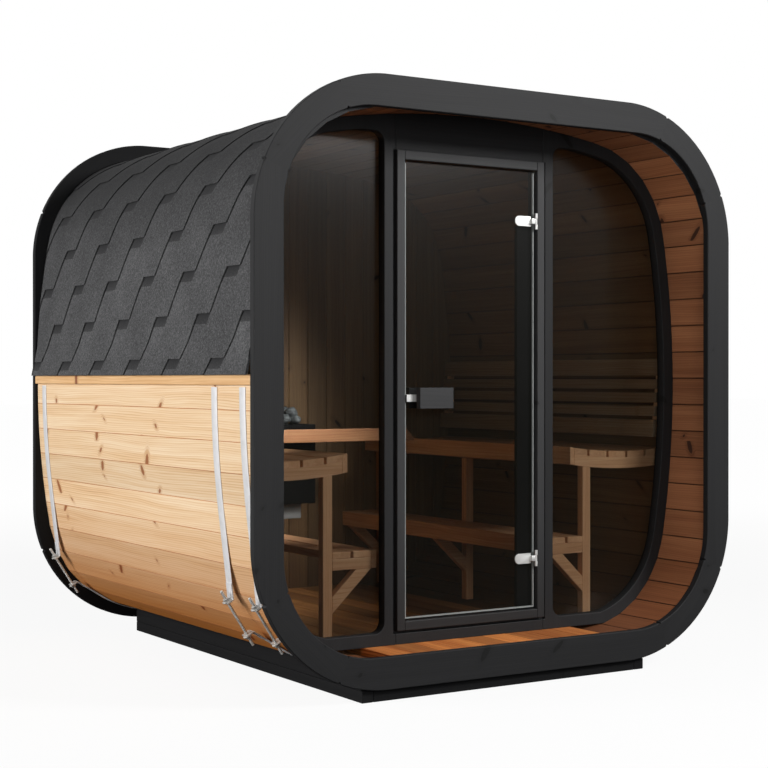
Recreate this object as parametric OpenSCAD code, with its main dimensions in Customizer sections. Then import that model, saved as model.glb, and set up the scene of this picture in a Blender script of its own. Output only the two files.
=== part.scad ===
// Cube sauna: a rounded-square stave cabin between two black end rings, with a glazed black
// front wall, a hinged glass door, a shingled roof, steel hoops, benches and a wall-hung heater.
// X runs across the cabin, Y from the front to the back, Z up from the ground.

/* [Shell] */
// Width of the stave shell at its widest
shell_w = 2034; // [1700:1:2450]
// Height of the stave shell at its tallest
shell_h = 2034; // [1800:1:2450]
// Length of the sauna over both end rings
body_len = 2010; // [1850:1:2600]
// Thickness of the staves
stave_t = 38; // [30:1:46]
// Radius of the gentle bow along each side of the shell
bow_r = 3400; // [2800:10:4200]
// Radius of the shell's corners
corner_r = 450; // [370:1:540]

/* [End rings] */
// How far a ring stands above and beside the shell
ring_lap_side = 13; // [10:1:16]
// How far a ring rises above the roof staves
ring_lap_top = 26; // [22:1:32]
// Width of a straight ring board
ring_face = 110; // [92:1:132]
// Thickness of the ring boards
ring_t = 28; // [22:1:34]
// Outer radius of a ring's corner
ring_outer_r = 510; // [425:1:612]
// Inner radius of a ring's corner
ring_inner_r = 355; // [300:1:425]
// Size of the small notch at each board joint
ring_notch = 9; // [6:1:12]

/* [Base] */
// Height of the base frame under the rings
base_h = 40; // [33:1:60]
// Distance from the shell's side in to the outside of a base runner
base_setback = 402.5; // [340:0.5:460]
// Thickness of the base boards
base_t = 45; // [36:1:54]
// Distance from the front of the sauna to the front of the base
base_inset_front = 22; // [10:1:27]
// Distance from the back of the base to the back of the sauna
base_inset_back = 131; // [110:1:158]

/* [Floor] */
// Height of the floor's top above the lowest stave
floor_rise = 60; // [50:1:72]
// Thickness of the floor boards
floor_t = 28; // [22:1:33]

/* [Front wall] */
// Distance from the front of the sauna to the face of the front wall
porch_depth = 260; // [217:1:312]
// Thickness of the front wall
wall_t = 40; // [34:1:48]
// Width of the frame around the side windows
wall_frame = 48; // [40:1:58]
// Width of the post between a window and the door frame
wall_post = 48; // [40:1:58]
// Width of the shadow groove around the door frame
groove_w = 10; // [8:1:12]
// Depth of the shadow groove around the door frame
groove_d = 14; // [11:1:17]
// Radius of the window corners beside the posts
window_r = 40; // [33:1:48]
// Thickness of the window glass
glass_t = 8; // [6:1:10]

/* [Door] */
// Width over the door frame
door_frame_w = 656; // [560:1:716]
// Height of the header over the door frame, at the middle of the cabin
header_h = 144; // [120:1:190]
// Gap between the floor and the door frame
door_sill_h = 49; // [41:1:59]
// Width of the door frame's members
jamb_w = 33; // [27:1:40]
// Depth of the door frame
jamb_d = 60; // [52:1:72]
// How far the door frame stands in front of the wall
jamb_proud = 10; // [8:1:12]
// Gap between the door glass and its frame
door_gap = 6; // [5.5:0.5:8]
// How far the door glass is set back in its frame
door_setback = 15; // [12:1:18]
// Distance from each end of the glass to the middle of its hinge
hinge_inset = 184; // [153:1:221]
// Reach of the hinge plate from the pin across the glass
hinge_plate_l = 73; // [61:1:88]
// Height of the hinge plate
hinge_plate_h = 38; // [32:1:46]
// Height of the middle of the handle above the ground
handle_z = 1012; // [845:1:1214]
// Length of the handle block
handle_l = 143; // [119:1:172]
// Height of the handle block
handle_h = 74; // [62:1:89]
// Thickness of the handle block
handle_t = 24; // [20:1:29]
// Stand-off of the handle block from the glass
handle_standoff = 20; // [17:1:24]
// Height of the latch bar beside the handle
latch_h = 26; // [22:1:31]

/* [Back wall] */
// Distance from the back of the sauna to the outside of the back wall
back_recess = 155; // [130:1:186]
// Thickness of the back wall
back_wall_t = 38; // [32:1:46]

/* [Roof] */
// Thickness of the shingle covering
roof_t = 9; // [7:1:11]
// Height of the shingles' lower edge above the shell's middle
eave_rise = 37; // [30:1:120]
// How far the shingles stand out at the eave
eave_kick = 29; // [24:1:35]
// Height over which the shingles kick out at the eave
kick_h = 120; // [100:1:144]
// Height of the batten under the eave
batten_h = 34; // [28:1:41]
// Thickness of the batten under the eave
batten_t = 12; // [10:1:14]

/* [Hoops] */
// Width of the hoop straps
strap_w = 42; // [35:1:50]
// Thickness of the hoop straps
strap_t = 2; // [1.5:0.1:2.5]
// Distance from the front of the sauna to the first hoop's middle
strap_1 = 102; // [85:1:122]
// Distance from the front of the sauna to the second hoop's middle
strap_2 = 307; // [256:1:368]
// Distance from the back of the sauna to the last hoop's middle
strap_3 = 108; // [90:1:124]
// Length of the threaded tension rods
rod_l = 228; // [190:1:274]
// Diameter of the tension rods
rod_d = 8; // [7:0.5:10]
// Stand-off of the tension rods from the staves
rod_off = 38; // [32:1:46]
// Angle of a tension rod's middle below the level of its corner's centre
rod_angle = 32.5; // [30:0.5:36]
// Angle between a rod's middle and the points where its hoop leaves the staves
hoop_spread = 25.5; // [23:0.5:28]
// Distance between the two ears that a tension rod pulls together
ear_gap = 137; // [115:1:164]
// Thickness of the ears
ear_t = 4; // [3:0.5:5]

/* [Benches] */
// Distance from the shell's side in to the upper bench's front
bench_reach = 519; // [433:1:600]
// Gap between the front wall and the benches
bench_gap = 9; // [8:1:11]
// Height of the upper bench's front edge above the ground
bench_z = 819; // [700:1:960]
// How much lower the bench is at the wall than at its front
bench_fall = 11; // [9:1:13]
// How far the bench dips in its middle
bench_dip = 16; // [13:1:19]
// Thickness of the bench slats
slat_t = 24; // [20:1:28]
// Gap between the bench slats
slat_gap = 11; // [9:1:13]
// Height of the curved bearers under the upper bench
bearer_h = 43; // [36:1:52]
// Thickness of the bearers
bearer_t = 28; // [23:1:34]
// Thickness of the boards along the bench fronts
fascia_t = 22; // [18:1:26]
// Width of the bench legs
leg_w = 38; // [32:1:46]
// Depth of the bench legs
leg_d = 33; // [28:1:40]
// Distance from the bench front to its legs
leg_inset = 62; // [52:1:74]
// Distance from the front legs to the middle ones
leg_spacing = 782; // [652:1:938]
// How far the foot bench stands out in front of the upper bench
step_out = 120; // [100:1:144]
// Height of the foot bench above the ground
step_z = 474; // [395:1:569]
// Height of the foot bench's bearers
step_board_h = 40; // [34:1:48]
// Width of the braces under the foot bench
brace_w = 43; // [36:1:52]
// Height of the brace's foot below the foot bench
brace_drop = 215; // [190:1:258]
// Gap between the upper bench and the backrest
rest_lift = 31; // [26:1:37]
// Height of a wide backrest slat
rest_wide = 68; // [57:1:82]
// Height of a narrow backrest slat
rest_narrow = 40; // [34:1:48]
// Gap between the backrest slats
rest_gap = 14; // [12:1:17]
// Thickness of the backrest slats
rest_t = 16; // [13:1:19]
// Stand-off of the backrest from the wall at its lower edge
rest_low_off = 42; // [35:1:50]
// Stand-off of the backrest from the wall at its upper edge
rest_high_off = 13; // [11:1:16]

/* [Heater] */
// Width of the heater
heater_w = 340; // [283:1:408]
// Depth of the heater
heater_d = 290; // [242:1:348]
// Height of the heater's casing
heater_h = 340; // [283:1:400]
// Thickness of the heater's walls
heater_wall = 14; // [12:1:17]
// Height of the heater's terminal box
terminal_h = 66; // [55:1:79]
// How far the terminal box is set in at each side
terminal_inset = 46; // [38:1:55]
// Height of the heater's top above the ground
heater_top = 885; // [800:1:1000]
// Distance of the heater's middle to the left of the cabin's middle
heater_shift = 120; // [100:1:144]
// Height of the stones above the casing
stones_h = 82; // [68:1:98]
// Gap between the heater and the back wall
heater_gap = 35; // [29:1:42]
// Height of the guard rail
guard_h = 55; // [46:1:66]
// Length cut off the guard rail's upper corners
guard_bevel = 41; // [34:1:49]
// Distance from the bench top down to the guard rail's lower edge
guard_drop = 8; // [7:1:10]
// Thickness of the guard rail
guard_t = 28; // [23:1:34]
// Distance from the heater's front to the guard rail
guard_gap = 64; // [53:1:77]

/* [Hidden] */

black = "#262728";
wood = "#c9884f";
metal = "#c8c9cb";
seat = 0.3;
arc_steps = 14;
front_y = -body_len / 2;
back_y = body_len / 2;
half_w = shell_w / 2;
half_h = shell_h / 2;
mid_z = base_h + half_h;
shell_front = front_y + ring_t;
shell_back = back_y - ring_t;
shell_len = shell_back - shell_front;

// Centre of a corner arc, at which it runs smoothly into both bowed sides
side_k = bow_r - half_w;
top_k = bow_r - half_h;
slope_k = side_k / top_k;
shift_k = (side_k * side_k - top_k * top_k) / (2 * top_k);
reach_k = bow_r - corner_r;
quad_a = 1 + slope_k * slope_k;
quad_b = 2 * (side_k + slope_k * shift_k);
quad_c = side_k * side_k + shift_k * shift_k - reach_k * reach_k;
corner_x = (-quad_b + sqrt(quad_b * quad_b - 4 * quad_a * quad_c)) / (2 * quad_a);
corner_z = slope_k * corner_x + shift_k;
side_angle = asin(corner_z / reach_k);
top_angle = asin(corner_x / reach_k);

base_w = shell_w - 2 * base_setback;
ring_half_w = half_w + ring_lap_side;
ring_half_h = half_h + ring_lap_top / 2;
ring_mid_z = base_h + ring_half_h;
joint_low = 22.5;
joint_high = 67.5;

floor_top = base_h + stave_t + floor_rise;
door_frame_top = base_h + shell_h - stave_t - header_h;
wall_y = front_y + porch_depth;
wall_back = wall_y + wall_t;
window_y = wall_back - glass_t;
frame_y = wall_y - jamb_proud;
frame_bottom = floor_top + door_sill_h;
frame_half = door_frame_w / 2;
opening_half = frame_half - jamb_w;
opening_low = frame_bottom + jamb_w;
opening_high = door_frame_top - jamb_w;
leaf_y = frame_y + door_setback;
leaf_half = opening_half - door_gap;
leaf_low = opening_low + door_gap;
leaf_high = opening_high - door_gap;
hinge_heights = [leaf_low + hinge_inset, leaf_high - hinge_inset];
hinge_plate_t = 4;
knuckle_h = hinge_plate_h + 22;
leaf_knuckle_h = 20;
plate_end = 17;
pin_r = 5;
pin_x = opening_half - pin_r - 1;
pin_y = leaf_y - pin_r - hinge_plate_t - 4;
stop_y = leaf_y + glass_t + 6;
stop_w = 74;
handle_x = -leaf_half + 39;
back_outer = back_y - back_recess;
back_inner = back_outer - back_wall_t;

eave_z = mid_z + eave_rise;
upper_leave = rod_angle - hoop_spread;
lower_leave = rod_angle + hoop_spread;
upper_reach = bow_r - reach_k * cos(side_angle - upper_leave);
upper_start = reach_k * sin(side_angle - upper_leave);
hoop_ys = [front_y + strap_1, front_y + strap_2, back_y - strap_3];

bench_x = half_w - bench_reach;
leg_x = bench_x + leg_inset;
step_x = bench_x - step_out;
frame_back = frame_y + jamb_d;
bench_start = step_x < frame_half ? max(wall_back, frame_back) : wall_back;
bench_front_y = bench_start + bench_gap;
bench_end_y = back_inner;
bench_back_x = side_in(bench_z - slat_t) - 4;
bench_chord = bench_back_x - bench_x;
bench_stations = [bench_front_y, bench_front_y + leg_spacing, bench_end_y - leg_d];
slat_count = 5;
slat_pitch = (bench_chord + slat_gap) / slat_count;
step_low = step_z - slat_t - step_board_h;
rest_z = bench_z + rest_lift;
rest_heights = [rest_wide, rest_narrow, rest_narrow, rest_narrow, rest_wide];
rest_total = 2 * rest_wide + 3 * rest_narrow + 4 * rest_gap;

heater_x = -heater_shift;
heater_back = back_inner - heater_gap;
heater_front = heater_back - heater_d;
heater_low = heater_top - heater_h;
guard_y = heater_front - guard_gap - guard_t;

// Points along an arc about (x, z) from one angle to another
function arc(x, z, r, from, to) =
    [for (i = [0:arc_steps]) let (a = from + (to - from) * i / arc_steps) [x + r * cos(a), z + r * sin(a)]];

// One quarter of the shell's outline, set in by a distance: half a side, a corner and half a top
function quarter(inset) = concat(
    arc(half_w - bow_r, 0, bow_r - inset, 0, side_angle),
    arc(corner_x, corner_z, corner_r - inset, side_angle, 90 - top_angle),
    arc(0, half_h - bow_r, bow_r - inset, 90 - top_angle, 90)
);

function mirror_x(points) = [for (i = [len(points) - 1:-1:0]) [-points[i][0], points[i][1]]];
function mirror_z(points) = [for (i = [len(points) - 1:-1:0]) [points[i][0], -points[i][1]]];

// Bottom height of the shell's outline at a distance from the middle
function under(x, inset) = mid_z - (half_h - bow_r) - sqrt(pow(bow_r - inset, 2) - x * x);

// Distance from the cabin's middle to the inside of its side wall at a height
function side_in(z) = half_w - bow_r + sqrt(pow(bow_r - stave_t, 2) - pow(z - mid_z, 2));

// Top of the dipped bench, at a share of the way from its front to the wall
function dip(u) = bench_z - bench_fall * u - 4 * bench_dip * u * (1 - u);

// The shell's outline set in by a distance, drawn in X and Z
module outline(inset) {
    right = concat(mirror_z(quarter(inset)), quarter(inset));
    translate([0, mid_z]) polygon(concat(right, mirror_x(right)));
}

// A flat shape in X and Z, given its depth along Y
module along_y(y, depth) {
    translate([0, y + depth, 0]) rotate([90, 0, 0]) linear_extrude(depth) children();
}

module block(x0, y0, z0, x1, y1, z1) {
    translate([x0, y0, z0]) cube([x1 - x0, y1 - y0, z1 - z0]);
}

module both_sides() {
    children();
    mirror([1, 0, 0]) children();
}

module stave_ring() {
    difference() {
        outline(0);
        outline(stave_t);
    }
}

module shell_part(x0, z0, x1, z1) {
    along_y(shell_front, shell_len) intersection() {
        stave_ring();
        translate([x0, mid_z + z0]) square([x1 - x0, z1 - z0]);
    }
}

module floor_staves() {
    color(wood) shell_part(-corner_x, -half_h - 1, corner_x, 0);
}

module roof_staves() {
    color(wood) shell_part(-corner_x, 0, corner_x, half_h + 1);
}

module left_wall_staves() {
    color(wood) shell_part(-half_w - 1, -corner_z, 0, corner_z);
}

module right_wall_staves() {
    color(wood) shell_part(0, -corner_z, half_w + 1, corner_z);
}

module lower_corner_staves() {
    color(wood) both_sides() shell_part(corner_x, -half_h - 1, half_w + 1, -corner_z);
}

module upper_corner_staves() {
    color(wood) both_sides() shell_part(corner_x, corner_z, half_w + 1, half_h + 1);
}

// A rectangle with round corners, about the middle of the ring
module rounded(hw, hh, r) {
    corner = arc(hw - r, hh - r, r, 0, 90);
    right = concat(mirror_z(corner), corner);
    translate([0, ring_mid_z]) polygon(concat(right, mirror_x(right)));
}

module ring_shape() {
    difference() {
        rounded(ring_half_w, ring_half_h, ring_outer_r);
        rounded(ring_half_w - ring_face, ring_half_h - ring_face, ring_inner_r);
        ring_notches();
    }
}

module each_corner() {
    for (sx = [-1, 1])
        for (sz = [-1, 1])
            translate([0, ring_mid_z]) scale([sx, sz])
                translate([ring_half_w - ring_outer_r, ring_half_h - ring_outer_r]) children();
}

// Small diamonds cut from the outer edge where two ring boards meet
module ring_notches() {
    each_corner() for (a = [joint_low, joint_high])
        rotate(a) translate([ring_outer_r, 0]) rotate(45) square(ring_notch, center = true);
}

// The wedge of a corner board, from its lower joint to its upper one
module corner_wedges() {
    far = ring_outer_r * 1.3;
    each_corner() polygon([
        [0, 0],
        [far * cos(joint_low), far * sin(joint_low)],
        [far, far],
        [far * cos(joint_high), far * sin(joint_high)]
    ]);
}

module ring_boards(y) {
    along_y(y, ring_t) difference() {
        ring_shape();
        corner_wedges();
    }
}

module ring_corners(y) {
    along_y(y, ring_t) intersection() {
        ring_shape();
        corner_wedges();
    }
}

module front_ring_boards() {
    color(black) ring_boards(front_y);
}

module front_ring_corners() {
    color(black) ring_corners(front_y);
}

module back_ring_boards() {
    color(black) ring_boards(shell_back);
}

module back_ring_corners() {
    color(black) ring_corners(shell_back);
}

base_front = front_y + base_inset_front;
base_back = back_y - base_inset_back;

module base_runners() {
    color(black) both_sides() block(base_w / 2 - base_t, base_front, 0, base_w / 2, base_back, base_h);
}

module base_crossbeams() {
    inner = base_w / 2 - base_t;
    middle = (base_front + base_back - base_t) / 2;
    color(black) for (y = [base_front, middle, base_back - base_t])
        block(-inner, y, 0, inner, y + base_t, base_h);
}

module cradle_rails() {
    top = under(base_w / 2, 0) + 1;
    color(black) along_y(shell_front + seat, base_back - shell_front - seat) difference() {
        both_sides() translate([base_w / 2 - base_t, base_h]) square([base_t, top - base_h]);
        outline(0);
    }
}

module floor_joists() {
    color(wood) for (y = [shell_front + 60, wall_y - 10, 0, back_inner - 120])
        along_y(y, base_t) intersection() {
            outline(stave_t);
            translate([-0.75 * corner_x, 0]) square([1.5 * corner_x, floor_top - floor_t]);
        }
}

module floor_boards() {
    color(wood) along_y(shell_front, back_inner - shell_front) intersection() {
        outline(stave_t);
        translate([-half_w, floor_top - floor_t]) square([shell_w, floor_t]);
    }
}

// The cabin's cross-section above the floor
module cabin_section(inset) {
    intersection() {
        outline(inset);
        translate([-half_w, floor_top]) square([shell_w, shell_h]);
    }
}

// The right-hand window: the cabin's section set in by the frame, with small corners at the post
module window_shape(inset) {
    edge = frame_half + wall_post + inset;
    low = floor_top + wall_frame - 3 + inset;
    high = mid_z + half_h - stave_t - 1.7 * wall_frame - inset;
    r = window_r - inset;
    intersection() {
        outline(stave_t + wall_frame + inset);
        union() {
            translate([edge + r, low]) square([half_w, high - low]);
            translate([edge, low + r]) square([half_w, high - low - 2 * r]);
            translate([edge + r, low + r]) circle(r, $fn = 48);
            translate([edge + r, high - r]) circle(r, $fn = 48);
        }
    }
}

module wall_side() {
    along_y(wall_y, wall_t) difference() {
        intersection() {
            cabin_section(stave_t);
            translate([frame_half, 0]) square([half_w, shell_h + base_h]);
        }
        window_shape(0);
    }
}

// A shallow groove beside and below the door frame
module frame_groove() {
    low = frame_bottom - groove_w;
    both_sides() block(0, wall_y - 1, low, frame_half + groove_w, wall_y + groove_d, door_frame_top);
}

module front_wall_right() {
    color(black) difference() {
        wall_side();
        frame_groove();
    }
}

module front_wall_left() {
    color(black) difference() {
        mirror([1, 0, 0]) wall_side();
        frame_groove();
    }
}

module front_wall_header() {
    color(black) along_y(wall_y, wall_t) intersection() {
        cabin_section(stave_t);
        translate([-frame_half, door_frame_top]) square([door_frame_w, shell_h]);
    }
}

module front_wall_sill() {
    color(black) difference() {
        block(-frame_half, wall_y, floor_top, frame_half, wall_back, frame_bottom);
        frame_groove();
    }
}

module window_glass() {
    color("#30302c") both_sides() along_y(window_y, glass_t) window_shape(0);
}

module door_jambs() {
    color(black) both_sides()
        block(opening_half, frame_y, frame_bottom, frame_half, frame_y + jamb_d, door_frame_top);
}

module door_head() {
    color(black) block(-opening_half, frame_y, opening_high, opening_half, frame_y + jamb_d, door_frame_top);
}

module door_threshold() {
    color(black) block(-opening_half, frame_y, frame_bottom, opening_half, frame_y + jamb_d, opening_low);
}

module hinge_stop() {
    color(black) block(
        opening_half - stop_w, stop_y, opening_low,
        opening_half, stop_y + 18, hinge_heights[1] - hinge_plate_h / 2
    );
}

// Two fixed knuckles of each hinge, with the glass's own knuckle turning between them
module hinge_knuckles() {
    gap = leaf_knuckle_h / 2 + 1;
    color(metal) for (z = hinge_heights) difference() {
        union() {
            translate([pin_x, pin_y, z - knuckle_h / 2]) cylinder(r = pin_r, h = knuckle_h, $fn = 40);
            block(pin_x, pin_y - 3, z - knuckle_h / 2, opening_half, pin_y + 3, z + knuckle_h / 2);
        }
        block(pin_x - 9, pin_y - 9, z - gap, opening_half + 1, pin_y + 9, z + gap);
    }
}

module door_glass() {
    color("#2c2b27") block(-leaf_half, leaf_y, leaf_low, leaf_half, leaf_y + glass_t, leaf_high);
}

// A plate with one round end that holds the glass and turns about the hinge pin
module hinge_plate(z) {
    r = hinge_plate_h / 2;
    left = pin_x - plate_end - hinge_plate_l;
    half = leaf_knuckle_h / 2;
    along_y(leaf_y - hinge_plate_t, hinge_plate_t) {
        translate([left + r, z]) circle(r, $fn = 48);
        translate([left + r, z - r]) square([hinge_plate_l - r, 2 * r]);
    }
    translate([pin_x, pin_y, z - half]) cylinder(r = pin_r, h = 2 * half, $fn = 40);
    block(pin_x - plate_end - 3, pin_y - 2, z - half, pin_x - 2, leaf_y, z + half);
}

module door_hinge_plates() {
    color(metal) for (z = hinge_heights) hinge_plate(z);
}

module door_handle() {
    outer_y = leaf_y - handle_standoff - handle_t;
    inner_y = leaf_y + glass_t;
    inner_front = inner_y + handle_standoff;
    low = handle_z - handle_h / 2;
    high = handle_z + handle_h / 2;
    color(black) {
        block(handle_x, outer_y, low, handle_x + handle_l, outer_y + handle_t, high);
        block(handle_x, inner_front, low, handle_x + handle_l, inner_front + handle_t, high);
        for (x = [handle_x + 30, handle_x + handle_l - 30]) {
            handle_post(x, leaf_y - handle_standoff);
            handle_post(x, inner_y);
        }
    }
}

// The bar that holds the closed door, between its handle and the edge of the glass
module door_latch() {
    low = handle_z - latch_h / 2;
    color(metal) block(-leaf_half + 1, leaf_y - 14, low, handle_x + 10, leaf_y, low + latch_h);
}

module handle_post(x, y) {
    translate([x, y + handle_standoff, handle_z]) rotate([90, 0, 0])
        cylinder(r = 7, h = handle_standoff, $fn = 32);
}

module back_wall() {
    color(wood) along_y(back_inner, back_wall_t) outline(stave_t);
}

// The roof covering: an outer skin of the shell above the eaves, kicked out over each batten
module roof_shingles() {
    color("#3b3c3e") along_y(shell_front, shell_len) difference() {
        union() {
            intersection() {
                outline(-roof_t);
                translate([-shell_w, eave_z]) square([2 * shell_w, shell_h]);
            }
            both_sides() polygon([
                [half_w - 60, eave_z],
                [half_w + eave_kick, eave_z],
                [half_w + roof_t, eave_z + kick_h],
                [half_w - 60, eave_z + kick_h]
            ]);
        }
        outline(0);
    }
}

module eave_battens() {
    color(wood) along_y(shell_front, shell_len) difference() {
        both_sides() translate([half_w - 20, eave_z - batten_h]) square([20 + batten_t, batten_h]);
        outline(0);
    }
}

module each_hoop() {
    for (y = hoop_ys)
        along_y(y - strap_w / 2, strap_w) both_sides() children();
}

module hoop_skin() {
    difference() {
        outline(-strap_t);
        outline(0);
    }
}

// Each hoop is in two parts on each side, with the tension rod between them
module hoop_straps() {
    color(metal) {
        hoop_tops();
        hoop_bottoms();
    }
}

// A flat frame at a lower corner's centre, with its first axis at an angle below level
module at_corner(angle) {
    translate([corner_x, mid_z - corner_z]) rotate(-angle) children();
}

// The same frame moved out to the middle of a tension rod, its second axis along the rod
module at_rod() {
    at_corner(rod_angle) translate([corner_r + rod_off, 0]) children();
}

// Down from the batten along the staves, then straight to the upper ear
module hoop_tops() {
    far = 3 * half_w;
    each_hoop() {
        intersection() {
            hoop_skin();
            square([far, eave_z - batten_h]);
            at_corner(upper_leave) translate([-far, upper_start]) square(2 * far);
        }
        intersection() {
            at_corner(upper_leave) translate([upper_reach, -far]) square([strap_t, far + upper_start + 1]);
            at_rod() translate([-far, (ear_gap - ear_t) / 2]) square(2 * far);
        }
    }
}

// Straight from the lower ear to the staves, then along them to the base
module hoop_bottoms() {
    far = 3 * half_w;
    each_hoop() {
        intersection() {
            hoop_skin();
            translate([base_w / 2 + 10, 0]) square([far, mid_z]);
            at_corner(lower_leave) translate([-far, -2 * far]) square(2 * far);
        }
        intersection() {
            at_corner(lower_leave) translate([corner_r, -1]) square([strap_t, far]);
            at_rod() translate([-far, -(ear_gap - ear_t) / 2 - 2 * far]) square(2 * far);
        }
    }
}

// One ear: a plate across the end of a strap, standing out past the rod
module ear(side, angle, reach) {
    far = 3 * half_w;
    difference() {
        at_rod() translate([-rod_off, (side * ear_gap - ear_t) / 2]) square([rod_off + rod_d / 2 + 6, ear_t]);
        at_corner(angle) translate([reach + strap_t - far, -far]) square([far, 2 * far]);
    }
}

module hoop_brackets() {
    color(metal) difference() {
        each_hoop() {
            ear(1, upper_leave, upper_reach);
            ear(-1, lower_leave, corner_r);
        }
        for (y = hoop_ys)
            both_sides() along_rod(y) cylinder(d = rod_d + 1.2, h = rod_l, center = true, $fn = 24);
    }
}

// The frame of a tension rod in space, with its length along Z
module along_rod(y) {
    translate([corner_x, y, mid_z - corner_z]) rotate([0, rod_angle, 0])
        translate([corner_r + rod_off, 0, 0]) children();
}

module tension_rods() {
    nut = 8;
    color(metal) for (y = hoop_ys) both_sides() along_rod(y) {
        cylinder(d = rod_d, h = rod_l, center = true, $fn = 24);
        for (side = [-1, 1])
            translate([0, 0, side * (ear_gap + ear_t + nut) / 2])
                cylinder(r = rod_d / 2 + 3.5, h = nut, center = true, $fn = 6);
    }
}

// The curved band between two depths below the bench's top
module bench_band(low, high) {
    steps = 20;
    top = [for (i = [0:steps]) [bench_x + bench_chord * i / steps, dip(i / steps) + high]];
    bottom = [for (i = [steps:-1:0]) [bench_x + bench_chord * i / steps, dip(i / steps) + low]];
    polygon(concat(top, bottom));
}

module bench_slats() {
    color(wood) both_sides() along_y(bench_front_y, bench_end_y - bench_front_y) intersection() {
        bench_band(-slat_t, 0);
        for (i = [0:slat_count - 1]) {
            x0 = i == 0 ? bench_x + fascia_t : bench_x + i * slat_pitch;
            translate([x0, bench_z - 200]) square([bench_x + (i + 1) * slat_pitch - slat_gap - x0, 300]);
        }
    }
}

module bench_fronts() {
    color(wood) both_sides() along_y(bench_front_y, bench_end_y - bench_front_y) intersection() {
        bench_band(-slat_t - bearer_h, 0);
        translate([bench_x, bench_z - 200]) square([fascia_t, 300]);
    }
}

module bench_bearers() {
    color(wood) for (y = bench_stations) both_sides() along_y(y, bearer_t) intersection() {
        bench_band(-slat_t - bearer_h, -slat_t);
        translate([bench_x + fascia_t, bench_z - 200]) square([half_w, 300]);
        outline(stave_t);
    }
}

module bench_legs() {
    color(wood) for (y = bench_stations) both_sides() along_y(y, leg_d) difference() {
        translate([leg_x, floor_top]) square([leg_w, bench_z - floor_top]);
        bench_band(-slat_t - bearer_h, 100);
    }
}

module step_slats() {
    width = (leg_x - step_x - fascia_t - slat_gap) / 2;
    color(wood) both_sides() for (i = [0, 1]) {
        x0 = step_x + fascia_t + i * (width + slat_gap);
        block(x0, bench_front_y, step_z - slat_t, x0 + width, bench_end_y, step_z);
    }
}

module step_fronts() {
    color(wood) both_sides()
        block(step_x, bench_front_y, step_low, step_x + fascia_t, bench_end_y, step_z);
}

module step_bearers() {
    color(wood) both_sides() for (y = bench_stations)
        block(step_x + fascia_t, y, step_low, leg_x, y + leg_d, step_z - slat_t);
}

// Slanting struts from the legs to the underside of the foot bench
module step_braces() {
    foot = step_z - brace_drop;
    slope = (step_low - foot) / (leg_x - step_x - fascia_t);
    rise = brace_w * sqrt(1 + slope * slope);
    color(wood) for (y = bench_stations) both_sides() along_y(y, leg_d) polygon([
        [leg_x, foot],
        [leg_x, foot + rise],
        [step_x + fascia_t + rise / slope, step_low],
        [step_x + fascia_t, step_low]
    ]);
}

// Back face of the backrest's slats at a height above its lower edge
function rest_x(h) = side_in(rest_z) - rest_low_off
    + (side_in(rest_z + rest_total) - rest_high_off - side_in(rest_z) + rest_low_off) * h / rest_total;

function rest_start(i) = i == 0 ? 0 : rest_start(i - 1) + rest_heights[i - 1] + rest_gap;

module backrest_slats() {
    color(wood) both_sides() along_y(bench_front_y, bench_end_y - bench_front_y) for (i = [0:4]) {
        low = rest_start(i);
        high = low + rest_heights[i];
        polygon([
            [rest_x(low), rest_z + low],
            [rest_x(high), rest_z + high],
            [rest_x(high) - rest_t, rest_z + high],
            [rest_x(low) - rest_t, rest_z + low]
        ]);
    }
}

module backrest_wedges() {
    color(wood) for (y = bench_stations) both_sides() along_y(y, bearer_t) intersection() {
        polygon([
            [rest_x(0), rest_z],
            [half_w, rest_z],
            [half_w, rest_z + rest_total],
            [rest_x(rest_total), rest_z + rest_total]
        ]);
        outline(stave_t);
    }
}

heater_x0 = heater_x - heater_w / 2;
heater_x1 = heater_x + heater_w / 2;

// An open-topped box with a floor
module heater_casing() {
    inset = heater_wall;
    color(black) difference() {
        block(heater_x0, heater_front, heater_low, heater_x1, heater_back, heater_top);
        block(
            heater_x0 + inset, heater_front + inset, heater_low + 2 * inset,
            heater_x1 - inset, heater_back - inset, heater_top + 1
        );
    }
}

module heater_terminal_box() {
    color("#8d8f90") block(
        heater_x0 + terminal_inset, heater_front + terminal_inset, heater_low - terminal_h,
        heater_x1 - terminal_inset, heater_back - 20, heater_low
    );
}

// A heap that fills the casing and tapers above its rim
module heater_stones() {
    inset = heater_wall;
    width = heater_w - 2 * inset;
    depth = heater_d - 2 * inset;
    floor_z = heater_low + 2 * inset;
    color("#6f7478") {
        block(
            heater_x0 + inset, heater_front + inset, floor_z,
            heater_x1 - inset, heater_back - inset, heater_top
        );
        translate([heater_x, (heater_front + heater_back) / 2, heater_top])
            linear_extrude(stones_h, scale = 0.35) square([width, depth], center = true);
    }
}

module heater_brackets() {
    color(black) for (side = [-1, 1]) {
        x = heater_x + side * (heater_w / 2 - 50);
        block(x - 20, heater_back, heater_low + 40, x + 20, back_inner, heater_top - 40);
    }
}

// A rail from bench to bench in front of the heater, bevelled above the bench tops
module heater_guard() {
    low = bench_z - guard_drop;
    high = low + guard_h;
    color(wood) along_y(guard_y, guard_t) polygon([
        [-bench_x, low],
        [bench_x, low],
        [bench_x, bench_z],
        [bench_x - guard_bevel, high],
        [-bench_x + guard_bevel, high],
        [-bench_x, bench_z]
    ]);
}

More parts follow.
